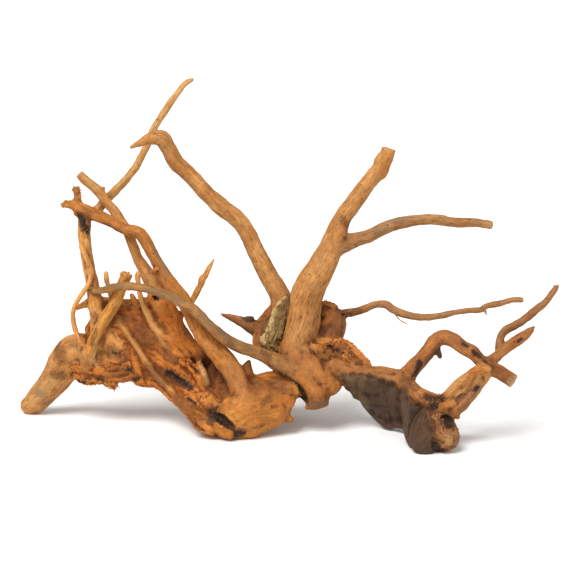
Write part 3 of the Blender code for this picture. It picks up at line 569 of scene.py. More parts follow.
# %% [markdown]
# ## Torn crumbs
#
# Where bark and rotten wood were torn off, the edges are left as crumbs a millimetre or two in size.
# Noise alone can't make their overhangs. So small uneven balls are strewn along those edges, half sunk
# in the skin that the eye sees, and the second remesh fuses them to it.

# %% Where the eye's ray meets the skin
SEARCH_REACH = 9  # a place in the view that misses the wood is looked for this far around
SEARCH_WAYS = 8


def on_front(tree, across, down):
    """Where the eye's ray through a place in the view meets the skin, in mm."""
    for ring in range(SEARCH_REACH):
        for turn in np.linspace(0, math.tau, SEARCH_WAYS, endpoint=False):
            spot = place([(across + ring * math.cos(turn), down + ring * math.sin(turn), 0, 0)])
            way = Vector(spot[0, :3] - EYE).normalized()
            hit = tree.ray_cast(Vector(EYE * MM), way)[0]
            if hit is not None:
                return np.array(hit) / MM
    raise ValueError(f"No wood at {across}, {down}")


fused_tree = BVHTree.FromObject(root, bpy.context.evaluated_depsgraph_get())
print("The trunk's front is at", on_front(fused_tree, 322, 265).round(), "mm")

# %% Torn crumbs of wood: two places (across, down), spread, count and radius
CRUMBS = (
    ((313, 347), (326, 356), 4, 26, 2.8), ((332, 342), (356, 360), 9, 60, 1.7),
    ((346, 339), (371, 367), 2, 44, 1.7), ((318, 364), (330, 392), 4, 20, 1.8),
    ((328, 304), (337, 306), 1.5, 8, 1.8), ((376, 377), (407, 383), 3, 40, 1.7),
    ((404, 370), (414, 384), 3, 22, 1.6), ((424, 396), (446, 410), 5, 44, 1.9),
    ((428, 414), (444, 422), 4, 20, 1.9), ((430, 447), (452, 446), 3, 18, 1.9),
    ((178, 361), (200, 370), 5, 30, 1.8),
    ((204, 396), (216, 408), 6, 30, 2.2), ((190, 412), (208, 430), 5, 40, 1.8),
    ((168, 388), (196, 420), 3, 34, 1.5), ((76, 379), (120, 386), 2, 44, 1.6),
    ((132, 382), (164, 386), 2, 26, 1.6), ((108, 362), (140, 378), 4, 24, 1.5),
    ((140, 300), (168, 302), 3, 22, 1.7), ((352, 390), (400, 426), 2, 40, 1.6),
    ((262, 372), (272, 370), 2, 8, 1.4), ((61, 200), (68, 206), 2, 16, 1.6),
    ((73, 189), (80, 195), 2, 18, 1.6), ((122, 276), (130, 276), 3, 10, 1.5),
)
CRUMB_SIZES, CRUMB_STRETCH = (0.5, 1.3), (0.7, 1.4)
draw = np.random.default_rng(11)


def crumb_mesh(name, tree, rows):
    """Small uneven balls, half sunk in the skin that the eye sees."""
    ball = bmesh.new()
    bmesh.ops.create_icosphere(ball, subdivisions=1, radius=1)
    corners = np.array([vert.co for vert in ball.verts])
    sides = np.array([[vert.index for vert in face.verts] for face in ball.faces])
    ball.free()
    verts, faces = [], []
    for start, end, spread, count, radius in rows:
        for share in draw.random(count):
            at = np.array(start) + share * np.subtract(end, start) + draw.normal(0, spread / 2, 2)
            girth = radius * draw.uniform(*CRUMB_SIZES) * draw.uniform(*CRUMB_STRETCH, 3)
            faces += (sides + len(corners) * len(verts)).tolist()
            verts.append(on_front(tree, *at) + corners * girth)
    return mesh_object(name, np.vstack(verts), faces)


crumbs = crumb_mesh("torn_crumbs", fused_tree, CRUMBS)
print(sum(row[3] for row in CRUMBS), "crumbs have", len(crumbs.data.polygons), "faces")


# %% Fuse the crumbs, drop scraps and smooth
def join_in(piece, extra):
    """Puts the extra mesh into the piece's mesh, and takes it out of the scene."""
    both = bmesh.new()
    both.from_mesh(piece.data)
    both.from_mesh(extra.data)
    both.to_mesh(piece.data)
    both.free()
    bpy.data.objects.remove(extra, do_unlink=True)


def keep_largest_shell(piece):
    """Drops the scraps that fusing and cutting leave."""
    skin = bmesh.new()
    skin.from_mesh(piece.data)
    left, shells = set(skin.verts), []
    while left:
        edge_of_shell = [left.pop()]
        shell = list(edge_of_shell)
        while edge_of_shell:
            for edge in edge_of_shell.pop().link_edges:
                for vert in edge.verts:
                    if vert in left:
                        left.remove(vert)
                        edge_of_shell.append(vert)
                        shell.append(vert)
        shells.append(shell)
    shells.sort(key=len)
    bmesh.ops.delete(skin, geom=[vert for shell in shells[:-1] for vert in shell], context="VERTS")
    skin.to_mesh(piece.data)
    skin.free()


join_in(root, crumbs)
shape(root, "REMESH", mode="VOXEL", voxel_size=SKIN_VOXEL * MM)
keep_largest_shell(root)
shape(root, "SMOOTH", **SMOOTHING)
print("The fused skin has", len(root.data.polygons), "faces")

# %% [markdown]
# ## Which limb is this bit of skin on?
#
# Wood grain runs along a limb, so a pattern on plain coordinates would cross it in places and give the
# game away. For each vertex, this step finds the limb that it lies on and stores three numbers in mm:
# two across the limb and one along it. A noise that is short across and long along them makes fibres
# that follow every bend. Where two limbs meet, the numbers jump from one limb to the other, so the
# step also stores how far the vertex is from such a meeting, and the fibres fade out there.

# %% Colours of the limbs, and how rough their skin is
def shade(hex_code):
    """The linear colour of an sRGB hex code."""
    parts = [int(hex_code[i : i + 2], 16) / 255 for i in (1, 3, 5)]
    return tuple(c / 12.92 if c <= 0.04045 else ((c + 0.055) / 1.055) ** 2.4 for c in parts) + (1.0,)


WOODS = {  # a tone of wood, and the limbs that have it; all others are rust-coloured
    # honey
    "#ae7942": "trunk hooked_limb sawn_limb left_foot right_riser foot_rib peg_root cling_root "
               "trunk_nub trunk_collar",
    # pale, tan, bark, hazel, fawn, flax and copper
    "#ba8a52": "whip_limb", "#976b40": "fork_limb", "#8a7040": "old_bark", "#96693a": "runner",
    "#9c6f45": "wavy_limb", "#bc813c": "peg_thick", "#c07a36": "fan coral_b",
    # ochre
    "#a3662b": "heel cross_limb frayed_stub peg_curl riser_spike lobe_nub crown_stub stub_lip "
               "crown_shoulder back_foot long_rope left_hem back_knee lobe_shoulder fold_b cross_nub "
               "knuckle_crest riser_knob",
    # rind
    "#8b5d36": "heel_spur far_right_twig right_foot_toe arch_nub riser_edge",
    # umber: old bark, darkened as painted shade on the apron's sheet under the brow
    "#4e3928": "arch_stub apron right_foot apron_rib_d apron_rib_e apron_rib_f apron_rib_g foot_web "
               "spur_nub",
    # olive: the apron's top, darkened as painted shade under the brow's rim
    "#5b4730": "apron_rib_a apron_rib_b apron_rib_c",
    # amber
    "#97602f": "right_arch riser_limb lobe_spike knuckle brow crown_face crown_web cross_root "
               "brow_rim",
    # gold
    "#b0702f": "lobe burl face_lobe coral",
    # straw
    "#c68a4a": "upright clinging_root peg_left peg_right rim twig splinter twig_knob upright_root",
    # russet: stained wood, darkened as painted shade in the hollow and its bowl
    "#8b4e1b": "hollow_back bowl_rib_a bowl_rib_b bowl_rib_c wavy_root",
}
RUST = shade("#b26821")[:3]
COARSENESS = {  # from 0, smooth, to 1, crumbling, and the limbs that have it
    0.35: "apron", 0.4: "cross_root", 0.45: "lobe knuckle",
    0.5: "right_foot foot_web crown_face sawn_root lobe_shoulder",
    0.6: "plate_upper lobe_top brow face_upper upright_root",
    0.7: "hollow_back back_knee face_middle cling_root riser_edge",
    0.8: "heel rim plate_lower plate_back_rib face_lower bowl_rib_a bowl_rib_b bowl_rib_c crown_web "
         "peg_root knuckle_crest",
    0.9: "right_foot_toe lower_hem burl", 0.95: "fan",
    1.0: "old_bark left_lip left_hem middle_hem coral coral_b",
}
TONE_OF = {name: shade(tone)[:3] for tone, names in WOODS.items() for name in names.split()}
COARSENESS_OF = {name: value for value, names in COARSENESS.items() for name in names.split()}
SMOOTH_LIMB = 0.3
print(len(WOODS) + 1, "tones of wood on", len(grown), "limbs")


# %% Where a spot lies beside one limb
EVERY_OTHER = slice(None, None, 2)  # half the stations are close enough, and twice as quick
GRAIN_TURN = 700.0  # mm of limb in which its grain winds round once
LIMB_TURN, LIMB_STEP = 1.3, np.array([37.0, 91.0, 13.0])  # so that no two limbs share their fibres
TIE_BREAK = 0.01  # of two stations as close, the one that the spot is level with counts


def beside_limb(limb, spots):
    """How far spots in mm lie from a limb's middle, in its radii, and their grain coordinates on it."""
    radii, number = limb["radii"][EVERY_OTHER], limb["number"]
    away = spots[:, None] - limb["middles"][EVERY_OTHER]
    wide, deep, along = (
        np.einsum("nsk,sk->ns", away, limb[way][EVERY_OTHER]) for way in ("wide", "deep", "along")
    )
    past = np.maximum(np.abs(along) - STATION_STEP, 0)
    gap = np.sqrt(wide**2 + (deep / limb["share"]) ** 2 + past**2 + TIE_BREAK * along**2) / radii
    pick = gap.argmin(1)
    gap, wide, deep, along = (a[np.arange(len(spots)), pick] for a in (gap, wide, deep, along))
    run = limb["run"][EVERY_OTHER][pick] + along
    turn = run * math.tau / GRAIN_TURN + number * LIMB_TURN
    cos, sin = np.cos(turn), np.sin(turn)
    own = np.column_stack([wide * cos - deep * sin, wide * sin + deep * cos, run])
    return gap, own + number * LIMB_STEP


gap = beside_limb(grown[0], place([(322.5, 265, 88, 0)])[:, :3])[0]
print("A spot on the trunk's middle line lies", gap.round(2), "radii from it")

# %% Read each spot's limb, tone and roughness
BATCH = 15000  # spots at a time, to spare memory
NOWHERE = 9.0  # radii, more than any spot on the skin is from its limb
BLEND = 9.0  # the higher, the shorter the blend from one limb's tone to the next
MEETING_WIDTH = 0.3  # radii of difference at which two limbs no longer meet


def read_limbs(spots):
    """Grain coordinates, clearness of junctions, tone and roughness at spots in mm."""
    count = len(spots)
    best, second = np.full(count, NOWHERE), np.full(count, NOWHERE)
    grain, owner, tone = np.zeros((count, 3)), np.zeros(count, int), np.zeros((count, 3))
    coarse, total = np.zeros(count), np.full(count, 1e-12)
    for limb in grown:
        middles = limb["middles"][EVERY_OTHER]
        reach = 1.5 * limb["radii"][EVERY_OTHER].max() + 2
        inside = (spots > middles.min(0) - reach) & (spots < middles.max(0) + reach)
        near = np.flatnonzero(inside.all(1))
        for part in np.array_split(near, len(near) // BATCH + 1):
            gap, own = beside_limb(limb, spots[part])
            closer = gap < best[part]
            second[part] = np.where(closer, best[part], np.minimum(second[part], gap))
            best[part] = np.where(closer, gap, best[part])
            grain[part[closer]] = own[closer]
            owner[part[closer]] = limb["number"]
            weight = np.exp(-BLEND * gap)
            total[part] += weight
            tone[part] += weight[:, None] * np.array(TONE_OF.get(limb["name"], RUST))
            coarse[part] += weight * COARSENESS_OF.get(limb["name"], SMOOTH_LIMB)
    return {
        "owner": owner, "grain": grain, "clear": np.clip((second - best) / MEETING_WIDTH, 0, 1),
        "tone": tone / total[:, None], "coarse": coarse / total,
    }


middle_of_trunk = read_limbs(place([(322.5, 265, 88, 0)])[:, :3])
print("A spot on the trunk belongs to the", grown[middle_of_trunk["owner"][0]]["name"])


# %% Read the root's skin, and store the grain on it
def spots_of(mesh):
    """The mesh's vertices, as rows in mm."""
    flat = np.empty(len(mesh.vertices) * 3, np.float32)
    mesh.vertices.foreach_get("co", flat)
    return flat.reshape(-1, 3).astype(float) / MM


def write_attribute(mesh, name, values):
    """Stores a number, a vector or a colour for each vertex."""
    values = np.asarray(values, np.float32)
    is_number = values.ndim == 1
    slot = mesh.attributes.get(name)
    slot = slot or mesh.attributes.new(name, "FLOAT" if is_number else "FLOAT_VECTOR", "POINT")
    slot.data.foreach_set("value" if is_number else "vector", values.ravel())


places = read_limbs(spots_of(root.data))
for name in ("grain", "coarse"):
    write_attribute(root.data, name, places[name])
print("Rough skin on", round(100 * float((places["coarse"] > 0.6).mean())), "% of the root")

# %% [markdown]
# ## Joints that swell
#
# Where a limb leaves the root, the wood swells into a web, as a tree's branch collar does. Plain tubes
# meet in a sharp line instead. Smoothing everything would thin the twigs, so only the skin near a
# meeting of two limbs is smoothed, and the small ribs, which are meant to stand out, only a little.
# The dark apron is one weathered sheet, so it is smoothed all over.

# %% Average the skin near the joints
def neighbour_mean(mesh, values, shares, rounds):
    """The rows of values after each has moved towards its neighbours' mean, by its share, each round."""
    ends = np.empty(len(mesh.edges) * 2, np.int32)
    mesh.edges.foreach_get("vertices", ends)
    a, b = ends.reshape(-1, 2).T
    count = len(values)
    degree = np.bincount(a, minlength=count) + np.bincount(b, minlength=count)
    shares = np.broadcast_to(shares, count)[:, None]
    for _ in range(rounds):
        around = [
            np.bincount(a, values[b, axis], count) + np.bincount(b, values[a, axis], count)
            for axis in range(values.shape[1])
        ]
        values = values + shares * (np.array(around).T / degree[:, None] - values)
    return values


RIB_RADIUS = 6.5
MELTING = {"rib": 0.15, "limb": 0.6, "sheet": 0.5}
MELTING_ROUNDS = 28
RIB_NAMES = {row[0] for row in ROPES + FOLDS if max(point[3] for point in row[2]) < RIB_RADIUS}
names = np.array([limb["name"] for limb in grown])[places["owner"]]
is_rib = np.isin(names, list(RIB_NAMES))
melting = (1 - places["clear"]) * np.where(is_rib, MELTING["rib"], MELTING["limb"])
is_sheet = np.char.startswith(names, "apron") | np.char.startswith(names, "foot_web")
melting = np.where(is_sheet, MELTING["sheet"], melting)
spots = neighbour_mean(root.data, spots_of(root.data), melting, MELTING_ROUNDS)
root.data.vertices.foreach_set("co", (spots * MM).astype(np.float32).ravel())
root.data.update()
print("Skin near joints:", round(100 * float((melting > 0.3).mean())), "% of the root")

# %% [markdown]
# ## Relief of the weathered skin
#
# Close to, the wood is furrowed along its grain, and the old plate is torn into ridges. This relief has
# to be in the mesh, because a bump in a material leaves the outline smooth. A Geometry Nodes tree does
# it: noise on the stored grain coordinates moves each vertex along its normal. The inputs are sizes in
# mm, so the same tree serves the bark later, with other numbers. `add` makes every node of this lesson.
# In its calls, a Map Range has its range as inputs 1 and 2, and what it turns it into as 3 and 4. A
# colour Mix has the share as input 0, its two colours as 6 and 7, and the mixture as output 2.

# %% One small function that adds a node, and one that starts a tree
def add(tree, kind, inputs=(), take=0, **settings):
    """Adds a node, sets its options, fills or links its inputs, and gives one of its outputs."""
    made = tree.nodes.new(kind)
    for setting, value in settings.items():
        setattr(made, setting, value)
    for key, value in dict(inputs).items():
        if isinstance(value, bpy.types.NodeSocket):
            tree.links.new(value, made.inputs[key])
        else:
            made.inputs[key].default_value = value
    return made.outputs[take] if made.outputs else made


def start_tree(name, sizes, takes_material=False):
    """A Geometry Nodes tree with named inputs, and those inputs as its first node gives them."""
    tree = bpy.data.node_groups.new(name, "GeometryNodeTree")
    tree.interface.new_socket("Geometry", in_out="INPUT", socket_type="NodeSocketGeometry")
    for title, value in sizes.items():
        socket = tree.interface.new_socket(title, in_out="INPUT", socket_type="NodeSocketFloat")
        socket.default_value = value
    if takes_material:
        tree.interface.new_socket("Material", in_out="INPUT", socket_type="NodeSocketMaterial")
    tree.interface.new_socket("Geometry", in_out="OUTPUT", socket_type="NodeSocketGeometry")
    return tree, add(tree, "NodeGroupInput").node.outputs


relief, given = start_tree("weathered_relief", {
    "Furrow Depth": 0.3, "Furrow Width": 3.0, "Furrow Length": 26.0, "Ridge Depth": 0.8,
    "Ridge Width": 9.0, "Crumb Depth": 1.4, "Crumb Size": 4.6, "Lump Depth": 0.7, "Lump Size": 12.0,
    "Seed": 4.0,
})
print("The relief tree takes", len(given) - 2, "numbers")

# %% Four noises: two stretched along the grain, and two that are as long as wide
grain = add(relief, "GeometryNodeInputNamedAttribute", {0: "grain"}, data_type="FLOAT_VECTOR")
coarse = add(relief, "GeometryNodeInputNamedAttribute", {0: "coarse"}, data_type="FLOAT")
in_mm = add(relief, "ShaderNodeVectorMath", {0: add(relief, "GeometryNodeInputPosition"),
            "Scale": 1 / MM}, operation="SCALE")
ridge_length = add(relief, "ShaderNodeMath", {0: given["Ridge Width"], 1: 5.0}, operation="MULTIPLY")
relief_noise = {}
for title, place_in, width, length, detail, roughness in (
    ("Furrow", grain, given["Furrow Width"], given["Furrow Length"], 2.0, 0.55),
    ("Ridge", grain, given["Ridge Width"], ridge_length, 3.0, 0.5),
    ("Lump", in_mm, given["Lump Size"], given["Lump Size"], 1.0, 0.5),
    ("Crumb", in_mm, given["Crumb Size"], given["Crumb Size"], 4.0, 0.68),
):
    cell = add(relief, "ShaderNodeCombineXYZ", {0: width, 1: width, 2: length})
    spot = add(relief, "ShaderNodeVectorMath", {0: place_in, 1: cell}, operation="DIVIDE")
    relief_noise[title] = add(relief, "ShaderNodeTexNoise", {"Vector": spot, "W": given["Seed"],
                              "Scale": 1.0, "Detail": detail, "Roughness": roughness},
                              noise_dimensions="4D")
print(len(relief_noise), "noises shape the relief")

# %% Noise to heights: ridges have sharp crests, and coarse skin has more of everything
furrow, ridge, lump = (
    add(relief, "ShaderNodeMath", {0: relief_noise[title], 1: 0.5}, operation="SUBTRACT")
    for title in ("Furrow", "Ridge", "Lump")
)
ridge = add(relief, "ShaderNodeMath", {0: ridge}, operation="ABSOLUTE")
ridge = add(relief, "ShaderNodeMapRange", {0: ridge, 1: 0.0, 2: 0.1, 3: -1.0, 4: 0.2})
crumb = add(relief, "ShaderNodeMapRange", {0: relief_noise["Crumb"], 1: 0.3, 2: 0.7, 3: -1.0, 4: 1.0})
furrowed = add(relief, "ShaderNodeMapRange", {0: coarse, 1: 0.3, 2: 1.0, 3: 1.0, 4: 1.6})
ridged = add(relief, "ShaderNodeMapRange", {0: coarse, 1: 0.35, 2: 0.9})
crumbly = add(relief, "ShaderNodeMapRange", {0: coarse, 1: 0.7, 2: 1.0})
rise = 0.0
for title, height, share in (("Furrow", furrow, furrowed), ("Ridge", ridge, ridged),
                             ("Crumb", crumb, crumbly), ("Lump", lump, 2.0)):
    height = add(relief, "ShaderNodeMath", {0: height, 1: given[f"{title} Depth"]}, operation="MULTIPLY")
    height = add(relief, "ShaderNodeMath", {0: height, 1: share}, operation="MULTIPLY")
    rise = add(relief, "ShaderNodeMath", {0: rise, 1: height}, operation="ADD")
rise = add(relief, "ShaderNodeMath", {0: rise, 1: MM}, operation="MULTIPLY")
offset = add(relief, "ShaderNodeVectorMath", {0: add(relief, "GeometryNodeInputNormal"),
             "Scale": rise}, operation="SCALE")
moved = add(relief, "GeometryNodeSetPosition", {0: given["Geometry"], 3: offset})
add(relief, "NodeGroupOutput", {0: moved})
print("The relief tree has", len(relief.nodes), "nodes")

# %% [markdown]
# ## Saw cuts and the floor
#
# The trunk, a few limbs and the thick peg were sawn off, which left flat pale ends with sharp edges. A
# flat cap on the tube would be worn round by the remesh, so the ends are sawn here, as on the bench:
# a block lies on the waste side of each cut and is taken away. The feet are cut level the same way.

# %% Saw cuts: a place (across, down, back), the way they face (right, up, to the eye), radius, paleness
# A block's corners go from left to right, front to back and bottom to top.
BOX_FACES = ((0, 1, 3, 2), (4, 6, 7, 5), (0, 4, 5, 1), (2, 3, 7, 6), (0, 2, 6, 4), (1, 5, 7, 3))
SAW_CUTS = (
    ("trunk_top", (388.5, 147, 100), (0.25, 0.9, 0.35), 9, 1),
    ("fork_end", (492.5, 225.3, 30), (0.85, -0.1, 0.5), 7, 1),
    ("sawn_end", (78.5, 172.8, 112), (-0.55, 0.7, 0.45), 8, 1),
    ("arch_end", (513.5, 381.5, 17), (0.62, -0.42, 0.66), 9, 1),
    ("stub_end", (320, 404, 57), (0.05, -0.75, 0.66), 13, 0.2),
    ("wavy_end", (523.5, 300, 118), (0.9, 0.1, 0.4), 5, 1),
    ("peg_end", (127.2, 272, 80), (0.25, 0.9, 0.35), 9, 1),
)


def cut_frame(at, facing):
    """The cut's middle and the direction it faces, in the part's frame."""
    right, up, nearer = facing
    way = right * RIGHT + up * UP - nearer * INWARD
    return place([(*at, 0)])[0, :3], way / np.linalg.norm(way)


def saw_block(name, at, facing, reach):
    """A block that lies on the waste side of the cut."""
    middle, way = cut_frame(at, facing)
    side = np.cross(way, INWARD)
    side /= np.linalg.norm(side)
    other = np.cross(way, side)
    corners = [
        middle + a * reach * side + b * reach * other + c * reach * 1.5 * way
        for a in (-1, 1) for b in (-1, 1) for c in (0, 1)
    ]
    block = mesh_object(name, corners, BOX_FACES)
    face_outward(block)
    return block


print(len(SAW_CUTS), "saw cuts, the largest of radius", max(cut[3] for cut in SAW_CUTS), "mm")


# %% Put the relief on the root and thin the mesh out
SKIN_TRIANGLES = 192000


def set_inputs(modifier, tree, **values):
    """Sets a tree's inputs on a modifier, by the identifiers behind their names."""
    for socket in tree.interface.items_tree:
        key = socket.name.replace(" ", "_").lower()
        if socket.in_out == "INPUT" and key in values:
            modifier[socket.identifier] = values[key]


def weather(piece, **values):
    """Moves the piece's skin by the relief tree, for good."""
    modifier = piece.modifiers.new("relief", "NODES")
    modifier.node_group = relief
    set_inputs(modifier, relief, **values)
    apply_modifiers(piece)


weather(root, furrow_depth=0.7, lump_depth=1.25)
shape(root, "DECIMATE", ratio=SKIN_TRIANGLES / (2 * len(root.data.polygons)))
print("The weathered skin has", len(root.data.polygons), "faces")

# %% Saw the ends, level the feet and smooth the shading
SHARP_ANGLE = math.radians(62)
for name, at, facing, reach, _ in SAW_CUTS:
    cut_away(root, saw_block(name, at, facing, reach))
floor_corners = [(x, y, z) for x in (-400, 400) for y in (-300, 300) for z in (-90, 0)]
floor_block = mesh_object("floor_block", floor_corners, BOX_FACES)
cut_away(root, floor_block)
keep_largest_shell(root)
root.data.shade_smooth()
root.data.set_sharp_from_angle(angle=SHARP_ANGLE)
root.data.calc_loop_triangles()
print("The root has", len(root.data.loop_triangles), "triangles")

# %% [markdown]
# ## Creases and crests
#
# Dust and old bark stay in the creases of real wood, and its crests wear pale. The darkening in the
# creases and broad hollows is partly that dust and partly painted shade. A vertex that sits lower than
# its neighbours' average is in a crease. Averaging a few times finds fine furrows, and averaging many
# times finds broad hollows. Both are stored, and the wood's material darkens or pales by them.

# %% Measure the creases
def normals_of(mesh):
    """Each vertex's outward direction."""
    flat = np.empty(len(mesh.vertices) * 3, np.float32)
    mesh.vertex_normals.foreach_get("vector", flat)
    return flat.reshape(-1, 3).astype(float)


FINE_ROUNDS, BROAD_ROUNDS = 6, 60  # of averaging: a few find furrows, many find hollows
CUT_DEPTH = 0.35  # mm from the cut's plane at which the skin is still end grain


def creases(mesh, rounds):
    """How far each vertex lies below its smoothed neighbourhood, in mm."""
    spots = spots_of(mesh)
    even = neighbour_mean(mesh, spots, 0.6, rounds)
    return ((even - spots) * normals_of(mesh)).sum(1)


def finish_skin(piece):
    """Stores on the piece the grain, junctions, tone, roughness, end grain and creases that its material
    reads.
    """
    spots = spots_of(piece.data)
    found = read_limbs(spots)
    found.pop("owner")
    found["end_grain"] = np.zeros(len(spots))
    for _, at, facing, reach, pale in SAW_CUTS:
        middle, way = cut_frame(at, facing)
        flat = np.abs((spots - middle) @ way) < CUT_DEPTH
        near = np.linalg.norm(spots - middle, axis=1) < 1.5 * reach
        found["end_grain"][flat & near] = pale
    for name, values in found.items():
        write_attribute(piece.data, name, values)
    fine, broad = creases(piece.data, FINE_ROUNDS), creases(piece.data, BROAD_ROUNDS)
    write_attribute(piece.data, "crease", np.column_stack([fine, broad, np.zeros(len(fine))]))
    return fine, broad


fine, broad = finish_skin(root)
for title, depth in (("Furrows", fine), ("Hollows", broad)):
    print(title, "in mm, from crest to crease:", np.percentile(depth, [5, 95]).round(2))

# %% [markdown]
# ## Stains, scorch marks, worn spots and painted shade
#
# The marks on a root aren't a pattern: a black knot here, a grey sunburnt streak there. Each is laid as
# a short stroke in the view. A ray from the eye carries it onto the skin, and the strength fades away
# from it in three dimensions, so a mark also wraps round a limb. The material later breaks the soft
# edges up with noise.
# Some black and brown strokes are painted shade: in gaps, slits and hollows, and on faces turned down.

# %% The strokes of each kind: half-width in mm, then places (across, down)
MARKS = {
    # Black strokes: scorch marks and rot, and painted shadow in the crown's slit and other gaps and
    # holes.
    "black": (
        (4.4, (80, 216), (83, 223), (86, 230)), (2.0, (99.5, 208.5)), (0.8, (141.5, 234)),
        (1.3, (157.5, 271.5)), (1.2, (112.6, 304)), (2.8, (153, 298), (157.5, 298.5)),
        (2.2, (79, 381.5), (84, 382.5)), (2.6, (135, 380), (139, 377)), (1.0, (320, 244)),
        (0.9, (331, 262)), (2.0, (342, 314.5), (351, 314)), (4.8, (168, 373), (180, 380)),
        (3.6, (180, 380), (191, 388)), (8.6, (214, 414), (222, 420)), (6.0, (222, 420), (240, 434)),
        (1.4, (287, 376), (296, 383)), (3.0, (299, 386), (303, 391)), (5.4, (304, 398)),
        (4.6, (428, 396), (441, 399)),
        (5.0, (430, 408), (436, 404)), (5.4, (434, 445), (440, 449)), (7.0, (446, 419), (448, 424)),
        (3.8, (419, 363), (416, 374)), (2.0, (463, 344), (467, 346)),
        (2.0, (472, 351), (479, 356), (487, 363)), (2.4, (474, 390), (478, 387)),
        (0.9, (456, 402), (457, 398), (462, 394), (467, 394)), (2.0, (518, 341), (521, 339)),
        (1.6, (180, 358), (186, 362)), (1.6, (190, 364), (196, 371)),
        (0.9, (120, 365), (128, 368), (134, 374)), (1.2, (98, 379), (106, 380)),
        (1.5, (196, 424), (204, 430)), (1.0, (113, 353), (121, 354)),
        (0.9, (124, 355), (131, 362), (133, 368), (126, 371)), (1.5, (188, 398), (196, 404)),
        (1.2, (313, 350), (314, 354)), (2.6, (328, 345), (334, 350)), (1.2, (336, 350), (344, 353)),
    ),
    "grey": (
        (2.8, (152, 243), (159, 258), (168, 274)), (3.0, (96, 288), (123, 285.5)),
        (3.0, (145, 289), (166, 295), (184, 302)), (2.8, (199, 312), (214, 327), (228, 339)),
        (2.2, (236, 343), (252, 350)), (4.6, (36, 392), (42, 394)), (3.6, (43, 404), (52, 401)),
        (5.0, (392, 220), (404, 219)), (3.6, (376, 232), (385, 229)), (5.0, (313, 405), (325, 403)),
        (3.0, (522, 333)),
    ),
    # Brown strokes: stains, and painted shade in the hollow and fan, on the knuckle, lobe and stub face.
    "brown": (
        (5.0, (93, 315), (95, 321)), (6.0, (124, 317), (132, 319)), (9.0, (138, 330), (150, 341)),
        (7.0, (57, 346), (61, 358)), (5.0, (54, 375), (63, 376)), (3.0, (85, 375), (106, 378)),
        (5.0, (342, 220), (347, 224)), (9.0, (340, 323), (336, 334)), (6.0, (334, 350), (342, 345)),
        (6.0, (337, 311), (346, 312), (358, 311)), (14.0, (203, 360), (215, 370), (220, 386)),
        (6.0, (212, 366), (214, 377)), (12.0, (256, 385), (280, 384)), (5.0, (476, 351), (490, 360)),
        (6.0, (493, 367), (508, 378)), (6.0, (118, 318), (128, 322)), (5.0, (166, 352), (176, 362)),
        (4.0, (262, 404), (268, 398)), (6.0, (186, 330), (194, 340)),
        (5.0, (436, 352), (428, 360)), (5.0, (404, 380), (414, 388)), (9.0, (268, 318), (262, 340)),
        (4.0, (262, 352), (268, 357)), (7.0, (322, 352), (338, 350)), (9.0, (150, 372), (164, 380)),
        (8.0, (112, 372), (128, 372)), (8.0, (180, 400), (196, 420)), (4.0, (350, 352), (360, 364)),
        (4.0, (249, 317), (254, 319)), (9.0, (314, 404), (325, 402)), (7.0, (84, 216), (89, 226)),
        (3.0, (104, 226), (120, 232)), (5.0, (222, 330), (236, 352)), (3.0, (96, 330), (92, 344)),
        (9.0, (212, 362), (216, 378)), (9.0, (210, 382), (226, 388)), (7.0, (112, 350), (124, 358)),
        (10.0, (326, 331), (336, 330)),
    ),
    "pale": (
        (4.5, (31, 400), (39, 409)), (3.5, (447, 437), (450, 443)), (4.0, (200, 363), (208, 384)),
        (3.4, (97, 338), (93, 356)),
        (3.0, (84, 352), (98, 366)),
        (1.8, (118, 320), (130, 337), (140, 352), (150, 367), (160, 380), (170, 389)),
        (2.0, (139, 296), (148, 318), (156, 333), (166, 348), (176, 360)),
        (6.0, (40, 396), (52, 380)), (4.0, (447, 386), (466, 374)), (1.8, (484, 368), (490, 370)),
        (4.0, (84, 176), (96, 188)),
    ),
}
print({kind: len(rows) for kind, rows in MARKS.items()}, "strokes")

# %% Lay the strokes on the skin
skin_tree = BVHTree.FromObject(root, bpy.context.evaluated_depsgraph_get())


def stroke_strength(spots, reach, stroke):
    """From 1 on the stroke to 0 at one and a half times its half-width away from it."""
    knots = np.array([on_front(skin_tree, *at) for at in stroke])
    knots = np.vstack([knots, knots[-1] + (0.01, 0, 0)])  # so that one place is a stroke too
    gap = np.full(len(spots), np.inf)
    for a, b in zip(knots, knots[1:]):
        share = np.clip((spots - a) @ (b - a) / ((b - a) @ (b - a)), 0, 1)
        gap = np.minimum(gap, np.linalg.norm(spots - a - share[:, None] * (b - a), axis=1))
    return np.clip(1.5 - gap / reach, 0, 1)


spots = spots_of(root.data)
strength = {
    kind: np.max([stroke_strength(spots, reach, stroke) for reach, *stroke in rows], axis=0)
    for kind, rows in MARKS.items()
}
stain_and_shade = [strength[kind] for kind in ("black", "grey", "brown")]
write_attribute(root.data, "stain_and_shade", np.column_stack(stain_and_shade))
write_attribute(root.data, "worn", strength["pale"])
for kind, found in strength.items():
    print(kind, "on", round(100 * float((found > 0).mean()), 1), "% of the root")

# %% [markdown]
# ## Bare rootwood
#
# The wood is azalea root, stripped, blasted and sun-dried. That leaves a matt, fibrous skin, honey to
# rust in colour, paler on the thin limbs and redder on the old plate. Its fibres are about a millimetre
# wide and a few centimetres long. The colour is built in layers, as the marks came to be: the wood's own
# tone, fibres, blotches, grime and painted shade in the creases, pale crests, and then the stains, some
# of which are painted shade too.

# %% The wood's noises, by the size of their cells in mm
def start_material(name, **numbers):
    """A named material, its tree and its surface shader, with the shader's plain numbers set."""
    made = bpy.data.materials.new(name)
    made.use_nodes = True
    surface = made.node_tree.nodes["Principled BSDF"]
    for title, value in numbers.items():
        surface.inputs[title.replace("_", " ")].default_value = value
    return made, made.node_tree, surface


